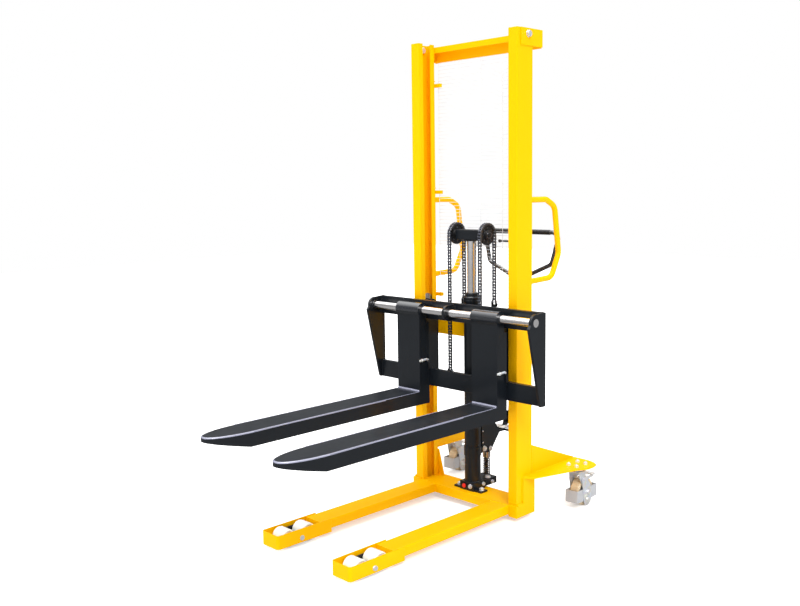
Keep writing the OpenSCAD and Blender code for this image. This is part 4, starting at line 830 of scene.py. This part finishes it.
# Carriage
dress("upper_crossbar", 1.8, 3)
dress("lower_crossbar", 1.8, 3)
dress("side_plates", 1.6, 3)
dress("roller_plates", 1.4)
carriage_welds = Shape()
IN_X, PLATE_IN, PLATE_OUT = CARRIAGE_X - 12, 240, 252
for z0, z1 in ((546, 624), (852, 933)):
    for y in (BAR_REAR - 1, BAR_FRONT + 0.5):
        carriage_welds.add(both(bead([(IN_X, y, z0 + 4), (IN_X, y, z1 - 4)], 2.6)))
    for z in (z0, z1):
        carriage_welds.add(both(bead([(IN_X, BAR_REAR - 3, z), (IN_X, BAR_FRONT + 3, z)], 2.4)))
for x in (PLATE_IN - 0.2, PLATE_OUT + 0.2):
    for z0, z1 in ((550, 620), (856, 920)):
        carriage_welds.add(both(bead([(x, BAR_REAR + 0.4, z0), (x, BAR_REAR + 0.4, z1)], 2.6)))
carriage_welds.add(both(bead([(6.2, BAR_FRONT - 0.6, 863), (6.2, BAR_FRONT - 0.6, 928)], 2.4)))
carriage_welds.add(both(ring_bead((IN_X - 0.4, SHAFT_Y, SHAFT_Z), X_AXIS, 18.2, 1.8)))
make("carriage_welds", carriage_welds, "carriage", "black_paint", smooth=60, weighted=False)
shaft = rod(17.5, 2 * CARRIAGE_X, 1.5, 72).moved(at(-CARRIAGE_X, SHAFT_Y, SHAFT_Z, X_AXIS))
make("fork_shaft_bar", shaft, "carriage", "chrome", "fork_shaft")
pins_shape = Shape()
GUIDE_Y, GUIDE_LEVELS = 52.25, (("upper", 903), ("lower", 590))
for _, z in GUIDE_LEVELS[::-1]:
    pins_shape.add(rod(12.5, 51, 1.0, 40), at(PLATE_IN, GUIDE_Y, z, X_AXIS))
    pins_shape.add(rod(17, 7.5, 1.0, 40), at(PLATE_OUT, GUIDE_Y, z, X_AXIS))
    pins_shape.add(bolt(19, 5, 1.5, 0, 6), at(PLATE_IN, GUIDE_Y, z, (-1, 0, 0), 0.3), 1)
make("guide_roller_pins", both(pins_shape), "carriage", ["machined_steel", "black_steel"],
     "roller_pins", smooth=32)
for level, z in GUIDE_LEVELS:
    node = level + "_guide_rollers"
    lo, hi = node_box(node)
    r = (hi.z - lo.z) / 2
    x0 = min(x for x in ((TO_MM @ v.co).x for v in frame["nodes"][node].data.vertices) if x > 0)
    w = hi.x - x0
    one = disc([(12.6, 0.6), (13, 0), (19, 0), (19.5, 1.2), (r - 9, 1.2), (r - 8.5, 0),
                (r - 3, 0), (r - 0.9, 0.9), (r, 3)], w)
    make(node + "_races", both(one.moved(at(x0, GUIDE_Y, z, X_AXIS))), node, "machined_steel", node)


# Forks
def fork_rule(mid, way, length):
    top = near(mid.z, BLADE_TOP) and (abs(way.z) < 0.02)
    rim = top and mid.y < SHANK_FRONT - 2
    tip_low = mid.y < FORK_TIP + 8 and near(mid.z, 504, 3) and abs(way.z) < 0.3
    shank = abs(way.z) > 0.99 and length > 120 and mid.z > BLADE_TOP and mid.y < -110
    return 5.5 if rim else 3.0 if (tip_low or shank) else 0


def rim_highlight_and_sleeve_gloss(shape):
    """Paints the highlight colour on the blade's rounded rim as a painted highlight, and gives the
    sleeve, which hands and pallets polish, a glossier coat.
    """
    for i, f in enumerate(shape.faces):
        a, b, c = (shape.verts[k] for k in f[:3])
        mid = sum((shape.verts[k] for k in f), Vector()) / len(f)
        tilt = abs((b - a).cross(c - a).normalized().z)
        rim = mid.y < SHANK_FRONT - 1 and BLADE_TOP - 6 < mid.z < BLADE_TOP and 0.05 < tilt < 0.995
        sleeve = math.hypot(mid.y - SHAFT_Y, mid.z - SHAFT_Z) < SLEEVE_R + 1 and mid.z > SHAFT_Z - 6
        if rim or sleeve:
            # Rim faces take the painted highlight colour (slot 2), sleeve faces the glossier coat
            # (slot 1).
            shape.mats[i] = 2 if rim else 1
    return shape


# A smooth weld across the heel, and rods in the chamfer along a stretch of each long edge, all in
# the painted highlight colour.
HEEL = ((-FORK_HALF + 4, 0.6), (-30, 0.8), (30, 0.8), (FORK_HALF - 4, 0.6))
PAINTED_HIGHLIGHT_SPAN = (FORK_TIP + 186, -330)
for side, x in (("left", -FORK_X), ("right", FORK_X)):
    shape = rim_highlight_and_sleeve_gloss(from_cad(side + "_fork").rounded(1.3, 4, 30, fork_rule))
    shape.add(tube([(x + dx, SHANK_FRONT - out, BLADE_TOP + out) for dx, out in HEEL],
                   6.4, 20, 1.5), None, 2)
    # Rods in the painted highlight colour, sitting in the rounded long edges.
    for edge in (-1, 1):
        e = x + edge * (FORK_HALF - 2.7)
        shape.add(tube([(e, y, BLADE_TOP - 2.7) for y in PAINTED_HIGHLIGHT_SPAN], 3.3, 20, 1.2), None, 2)
    make(side + "_fork_dressed", shape, side + "_fork",
         ["black_paint", "black_gloss", "painted_rim_highlight"], side + "_fork")
    p = x + FORK_HALF + 5
    bend = bent([(p, SHANK_FRONT - 4, 667), (p, SHANK_REAR - 12, 670),
                 (p, SHANK_REAR - 5, 624)], 14, 12)
    pin = Shape().add(tube(bend[:9], 4.9, 24, 1.0)).add(tube(bend[8:], 4.85, 24, 0.6), None, 1)
    pin.add(ring(5, 7.6, 3.0, 0.5, 28), at(p, SHANK_FRONT + 8, 667.7, Y_AXIS))
    make(side + "_lock_pin_rod", pin, side + "_fork", ["zinc", "black_steel"],
         side + "_lock_pin")


# Load rollers
ROLLER_W = 68
roller = disc([(8.2, 1.0), (9.0, 0), (20, 0), (21.5, 2.2), (29, 2.2), (30.5, 0.4), (31.5, 0),
               (34.2, 0.7), (36.2, 2.7), (37, 6)], ROLLER_W)
for side, s in (("left", -1), ("right", 1)):
    for end, e in (("front", -1), ("rear", 1)):
        node = f"{side}_{end}_load_roller"
        place = at(s * LEG_X - ROLLER_W / 2, BOGIE_Y + e * ROLLER_HALF_PITCH, ROLLER_Z, X_AXIS)
        make(node + "_tyre", roller.moved(place), node, "nylon", node)
    dress(side + "_bogie", 1.0)


# Castors
def castor_frame(side):
    return at(side * CASTOR_X, CASTOR_Y, 0, Z_AXIS, CASTOR_TURN)


TRAIL, AXLE_Z, TOP_Z = 38.0, 63.5, 167.6
CHEEK_IN, CHEEK_OUT, COVER_IN, COVER_OUT, COVER_Z = 24.5, 28.5, 31.8, 34.8, 35
BRAKE_Y, BRAKE_Z = 14, 128.5


def yoke_shape():
    s = Shape()
    s.add(lathe([(6, TOP_Z - 4), (32, TOP_Z - 4), (34, TOP_Z - 2.6), (34, TOP_Z - 1.2),
                 (32.8, TOP_Z), (6, TOP_Z)], 64))
    s.add(rod(6, 10, 0.5, 32), at(0, 0, TOP_Z - 0.5))
    leg = prism([(-26, TOP_Z - 2), (-21, 140), *arc_points(TRAIL, AXLE_Z, 15, 205, 375, 14),
                 (30, 140), (28, TOP_Z - 2)], 4, 1.1, 2, 40)
    cover = prism([(-12, 132), (-4, 96), *arc_points(TRAIL - 2, COVER_Z, 31, 165, 372, 22),
                   (62, 92), (26, 134)], 3, 1.0, 2, 40)
    for way in (-1, 1):
        s.add(leg, at(CHEEK_IN if way > 0 else -CHEEK_OUT, 0, 0) @ SIDE_PLANE)
        s.add(tube([(way * 26.5, -25, TOP_Z - 3.2), (way * 26.5, 27, TOP_Z - 3.2)], 3.4, 20, 1))
        s.add(ring(6, 13.5, 1.6, 0.5, 40), at(way * 28.4, TRAIL, AXLE_Z, (way, 0, 0)))
        s.add(cover, at(COVER_IN if way > 0 else -COVER_OUT, 0, 0) @ SIDE_PLANE)
        s.add(ring(14, 24, 1.2, 0.5, 56), at(way * 34.6, TRAIL - 2, COVER_Z, (way, 0, 0)))
        s.add(bolt(14, 5.0, 1.2), at(way * 34.6, TRAIL - 2, 30, (way, 0, 0), 0.2))
        s.add(bolt(19, 6.0, 0, 0, 6), at(way * 35.8, TRAIL, AXLE_Z, (way, 0, 0), 0.3))
        s.add(rod(4, 4.0, 0.6, 24), at(way * 32.2, BRAKE_Y, BRAKE_Z, (way, 0, 0)))
        s.add(rod(5.5, 1.6, 0.5, 24), at(way * 32.6, BRAKE_Y, BRAKE_Z, (way, 0, 0)))
    s.add(rod(6, 73, 0.3, 32), at(-36.5, TRAIL, AXLE_Z, X_AXIS))
    s.add(rod(4, 64, 0.3, 24), at(-32, BRAKE_Y, BRAKE_Z, X_AXIS))
    return s


mount = Shape()
plate = prism([(-34, -44), (34, -44), (34, 44), (-34, 44)], 5)
plate = plate.rounded(6, 3, 50, lambda m, w, q: 6.0 if abs(w.z) > 0.99 else 0)
mount.add(plate, at(CASTOR_X, CASTOR_Y, PLATE_Z - 5, Z_AXIS, -CASTOR_TURN))
mount.add(lathe([(6.4, 168), (27, 168), (30, 170), (30, 172.4), (28.4, 173.2), (28.4, 174.4),
                 (30, 175.2), (30, 178), (26, 180), (6.4, 180)], 72, closed=True),
          at(CASTOR_X, CASTOR_Y, 0))
make("castor_top_mounts", both(mount), "root", "zinc", "castor_mounts")

yoke = yoke_shape()
WHEEL_W = 45
tyre = disc([(44, 2.5), (50, 0.4), (52, 0), (56.5, 0), (61, 1.8), (63.2, 5), (63.5, 8)],
            WHEEL_W, 112)
hub = disc([(6.2, 0.5), (17, 0), (18, 1), (20, 5.5), (22, 6.6), (42.5, 5), (44.5, 3)], WHEEL_W)
wheel = Shape().add(tyre).add(hub, None, 1)
for side, s in (("left", -1), ("right", 1)):
    place = castor_frame(s)
    make(side + "_castor_fork", yoke.moved(place), side + "_castor", "zinc",
         side + "_castor_yoke")
    make(side + "_castor_tyre", wheel.moved(place @ at(-WHEEL_W / 2, TRAIL, AXLE_Z, X_AXIS)),
         side + "_castor_wheel", ["castor_tread", "grey_paint"], side + "_castor_wheel")
    dress(side + "_foot_guard", 0.9)
    ribs = Shape()
    for k in range(6):
        ribs.add(slab((-31, 83 + k * 5, 134), (31, 85.4 + k * 5, 135.6), 0.5))
    dress(side + "_brake_pedal", 0.9, 2, None, ribs.moved(place))


# Pump
pump_extra = Shape()
for s in (-1, 1):
    pump_extra.add(bolt(19, 8, 2.0, 3.5, 6), at(66 * s, 47.5, 76, Z_AXIS, 0.4 * s), 1)
pump_extra.add(bolt(17, 5, 1.5), at(22, 20, 90, (0, -1, 0), 0.2), 1)
for side, y, z, spin in ((1, 88, 91, 0.5), (1, 150, 88, 0.1), (-1, 120, 90, 0.1)):
    pump_extra.add(bolt(14, 5, 1.5), at(41 * side, y, z, (side, 0, 0), spin), 1)
pump_extra.add(bolt(22, 6, 2.0), at(24, 140, 106, Z_AXIS, 0.3), 1)
pump_extra.add(ring_bead((0, LIFT_Y, 106.5), Z_AXIS, 37.7, 2.6, 120))
make("pump_block", from_cad("pump_base").rounded(1.4, 2, 40).add(pump_extra), "root",
     ["black_paint", "zinc"], "pump_base")
plug = lathe([(3, -7.2), (6, -7.2), (8, -6.6), (9, -5.4), (9, -1.6), (8.6, -0.6), (8, 0),
              (6, 0.2), (6, 8)], 40)
for k in range(18):
    a = 2 * PI * k / 18
    plug.add(rod(0.9, 4.4, 0.3, 8), at(*polar(8.9, a), -5.8))
make("relief_plug_cap", plug.moved(at(-14, 20, 88, Y_AXIS)), "root", "red_plastic",
     "relief_plug", smooth=40)
lo, hi = node_box("pump_plunger")
plunger = lathe([(7.4, lo.z), (8, lo.z + 0.6), (8, hi.z - 28), (16.6, hi.z - 28),
                 (18.2, hi.z - 26.6), (18.2, hi.z - 1.6), (16.8, hi.z), (0.5, hi.z)], 56)
make("pump_plunger_cap", plunger.moved(at(0, PLUNGER_Y, 0)), "pump_plunger",
     "machined_steel", "pump_plunger")
lo, hi = node_box("pump_spring")
SPRING_CURLS, SPRING_R, SPRING_END, STEPS = 9, 15, 4.4, 28
z0, z1 = lo.z + SPRING_END, hi.z - SPRING_END
coil = [Vector((SPRING_R, PLUNGER_Y, z0 - SPRING_END))]
for k in range(SPRING_CURLS * STEPS + 1):
    a = 2 * PI * k / STEPS
    coil.append(Vector((SPRING_R * math.cos(a), PLUNGER_Y + SPRING_R * math.sin(a),
                        z0 + (z1 - z0) * k / (SPRING_CURLS * STEPS))))
coil.append(Vector((SPRING_R, PLUNGER_Y, z1 + SPRING_END)))
spring = make("pump_spring_wire", tube(coil, 2.1, 14, 0), None, "black_steel", "pump_spring",
              smooth=60, weighted=False)
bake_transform(spring)


# Lever, pedal and tiller
lever = Shape()
PEDAL_Z, PEDAL_Y0, PEDAL_Y1, PEDAL_HALF = 312.0, 262.0, 324.0, 58.0
for k in range(9):
    y = PEDAL_Y0 + 5 + k * 6.4
    zig = [(-PEDAL_HALF + 4 + i * 9, y + (2.6 if i % 2 else 0), PEDAL_Z + 0.6)
           for i in range(13)]
    lever.add(tube(zig, 1.3, 8, 0.2), None, 1)
lever.add(slab((-PEDAL_HALF + 2, PEDAL_Y0 + 2, PEDAL_Z - 0.4),
               (PEDAL_HALF - 2, PEDAL_Y1 - 2, PEDAL_Z + 0.5), 0.4), None, 1)
for s in (-1, 1):
    lever.add(bolt(19, 4.0, 1.4), at(23.2 * s, PLUNGER_Y, 238.4, (s, 0, 0), 0.3), 1)
    for y, z in ((107, 277), (106, 330)):
        lever.add(rod(4, 3.0, 0.8, 24), at(22.6 * s, y, z, (s, 0, 0)), 1)
make("pump_lever_cheeks", from_cad("pump_lever").rounded(1.1, 2, 40).add(lever), "pump_lever",
     ["black_paint", "zinc"], "pump_lever")

tiller_frame = at(0, *TILLER_FOOT) @ Matrix.Rotation(-LEAN, 4, "X")
TILLER_TOP, LOOP_H, LOOP_HALF = 1227, 222, 215
LENGTH = (TILLER_TOP - TILLER_FOOT[1]) / math.cos(LEAN)
low = LENGTH - LOOP_H
stem = tube([(0, 0, -30), (0, 0, 0), (0, 0, low - 20), (0, 0, low + 9)], 16, 40, 1.5)
stem.add(slab((-13, -5, low), (13, 5, LENGTH - 34), 1.6, 3))
half_loop = [(-10, 0, low), (32 - LOOP_HALF, 0, low + 76), (-LOOP_HALF, 0, LENGTH - 22),
             (26 - LOOP_HALF, 0, LENGTH)]
loop = bent(half_loop + [(-x, y, z) for x, y, z in half_loop[::-1]], 30, 10)
stem.add(tube(loop, 10, 24, 0.6), None, 2)
stem.add(ring_bead((0, 0, low + 3), Z_AXIS, 13.5, 2.4, 60))
GRIP_IN, GRIP_OUT = 40, 167
for s in (-1, 1):
    stem.add(tube([(s * x, 0, LENGTH) for x in (GRIP_IN, GRIP_IN + 2, GRIP_OUT - 2, GRIP_OUT)],
                  [10.4, 11.2, 11.2, 10.4], 24, 0), None, 1)
    for k in range(20):
        stem.add(ring(9.8, 11.7, 2.2, 0.5, 24),
                 at(s * (GRIP_IN + 5 + k * 6), 0, LENGTH, X_AXIS), 1)
make("tiller_bar", stem.moved(tiller_frame), "pump_lever",
     ["black_paint", "black_steel", "black_gloss"], "tiller")
LEVER_Y, rz = -10.4, LENGTH - 48
lowering = Shape()
lowering.add(ring(4.1, 12, 10, 1.0, 40), at(0, -5.4, rz, (0, -1, 0)))
lowering.add(tube([(x, LEVER_Y, rz) for x in (-8, -60, -118)], 4.6, 20, 0.5))
lowering.add(lathe([(1, 0), (4.6, 1.2), (7.0, 4.5), (7.6, 8), (7.0, 11.5), (4.8, 14.6),
                    (2, 15.6)], 28), at(-111, LEVER_Y, rz, (-1, 0, 0)), 1)
lowering.add(bolt(13, 3, 1.0), at(0, -15.4, rz, (0, -1, 0), 0.2), 1)
make("lowering_lever_rod", lowering.moved(tiller_frame), "lowering_lever",
     ["black_paint", "black_steel"], "lowering_lever")

for node, o in frame["nodes"].items():
    if not o.hide_render:
        o.data.materials.clear()
        o.data.materials.append(MATS[SLOT_OF[node]])


# Room, light and camera
def ray(tree, kind):
    """1 for one kind of ray, 0 for the others."""
    return tree.nodes.new("ShaderNodeLightPath").outputs["Is " + kind + " Ray"]


def maths(tree, operation, a, b):
    n = tree.nodes.new("ShaderNodeMath")
    n.operation = operation
    for i, value in enumerate((a, b)):
        if isinstance(value, bpy.types.NodeSocket):
            tree.links.new(value, n.inputs[i])
        else:
            n.inputs[i].default_value = value
    return n.outputs[0]


# The backdrop is plain white to the camera. Glossy rays see a hall with a bright ceiling
# and its light wall on the camera's side.
world = bpy.data.worlds.new("studio")
bpy.context.scene.world = world
world.use_nodes = True
wt = world.node_tree
back = wt.nodes["Background"]
AMBIENT, FAR_WALL, NEAR_WALL, CEILING, FLOOR_SHEEN = 0.74, 0.12, 0.62, 3.8, 0.20
height = wt.nodes.new("ShaderNodeSeparateXYZ")
wt.links.new(wt.nodes.new("ShaderNodeTexCoord").outputs["Generated"], height.inputs["Vector"])
side = maths(wt, "SUBTRACT", height.outputs["X"], height.outputs["Y"])
hall = maths(wt, "MAXIMUM", to_range(wt, side, FAR_WALL, NEAR_WALL, -0.4, 0.8),
             to_range(wt, height.outputs["Z"], 0.0, CEILING, 0.35, 0.95))
is_glossy = ray(wt, "Glossy")
seen = maths(wt, "MAXIMUM", ray(wt, "Camera"), ray(wt, "Transmission"))
indirect = maths(wt, "ADD", maths(wt, "MULTIPLY", is_glossy, hall),
                 maths(wt, "MULTIPLY", maths(wt, "SUBTRACT", 1.0, is_glossy), AMBIENT))
level = maths(wt, "ADD", seen, maths(wt, "MULTIPLY", maths(wt, "SUBTRACT", 1.0, seen), indirect))
back.inputs["Color"].default_value = (1, 1, 1, 1)
wt.links.new(level, back.inputs["Strength"])

floor_mesh = bpy.data.meshes.new("floor")
H = 14.0
floor_mesh.from_pydata([(-H, -H, 0), (H, -H, 0), (H, H, 0), (-H, H, 0)], [], [(0, 1, 2, 3)])
floor = bpy.data.objects.new("floor", floor_mesh)
bpy.context.scene.collection.objects.link(floor)
fm, ft, fs, _ = new_material("floor_white")
fs.inputs["Roughness"].default_value = 0.9
fs.inputs["Specular IOR Level"].default_value = 0.0
fs.inputs["Emission Color"].default_value = (1, 1, 1, 1)
ft.links.new(mix(ft, ray(ft, "Glossy"), (0.86, 0.86, 0.86), (FLOOR_SHEEN,) * 3),
             fs.inputs["Base Color"])
ft.links.new(maths(ft, "MULTIPLY", ray(ft, "Camera"), 0.42), fs.inputs["Emission Strength"])
floor_mesh.materials.append(fm)


def sun(name, way, strength, spread):
    data = bpy.data.lights.new(name, "SUN")
    data.energy = strength
    data.angle = math.radians(spread)
    o = bpy.data.objects.new(name, data)
    o.rotation_mode = "QUATERNION"
    o.rotation_quaternion = Vector(way).to_track_quat("-Z", "Y")
    bpy.context.scene.collection.objects.link(o)


sun("key", (-0.78, 0.45, -0.85), 1.75, 24)
sun("fill", (0.35, 0.9, -0.45), 0.45, 40)
sun("top", (0.05, 0.1, -1.0), 2.4, 50)

cam_data = bpy.data.cameras.new("camera")
camera = bpy.data.objects.new("camera", cam_data)
bpy.context.scene.collection.objects.link(camera)
az, el, roll = (math.radians(a) for a in (45.73, 7.19, -0.85))
back_way = Vector((math.sin(az) * math.cos(el), -math.cos(az) * math.cos(el), math.sin(el)))
right = Vector((math.cos(az), math.sin(az), 0))
up = back_way.cross(right)
r2 = right * math.cos(roll) + up * math.sin(roll)
u2 = -right * math.sin(roll) + up * math.cos(roll)
spot = TO_ROW @ Vector((2692, -3011.5, 1442))
FOCAL_PX, IMAGE_PX, SENSOR = 917.98, 800, 36.0
camera.matrix_world = at(*spot) @ Matrix((r2, u2, back_way)).transposed().to_4x4()
cam_data.sensor_fit = "HORIZONTAL"
cam_data.sensor_width = SENSOR
cam_data.lens = FOCAL_PX / IMAGE_PX * SENSOR
cam_data.clip_end = 100
bpy.context.scene.camera = camera
bpy.context.scene.view_settings.view_transform = "Standard"
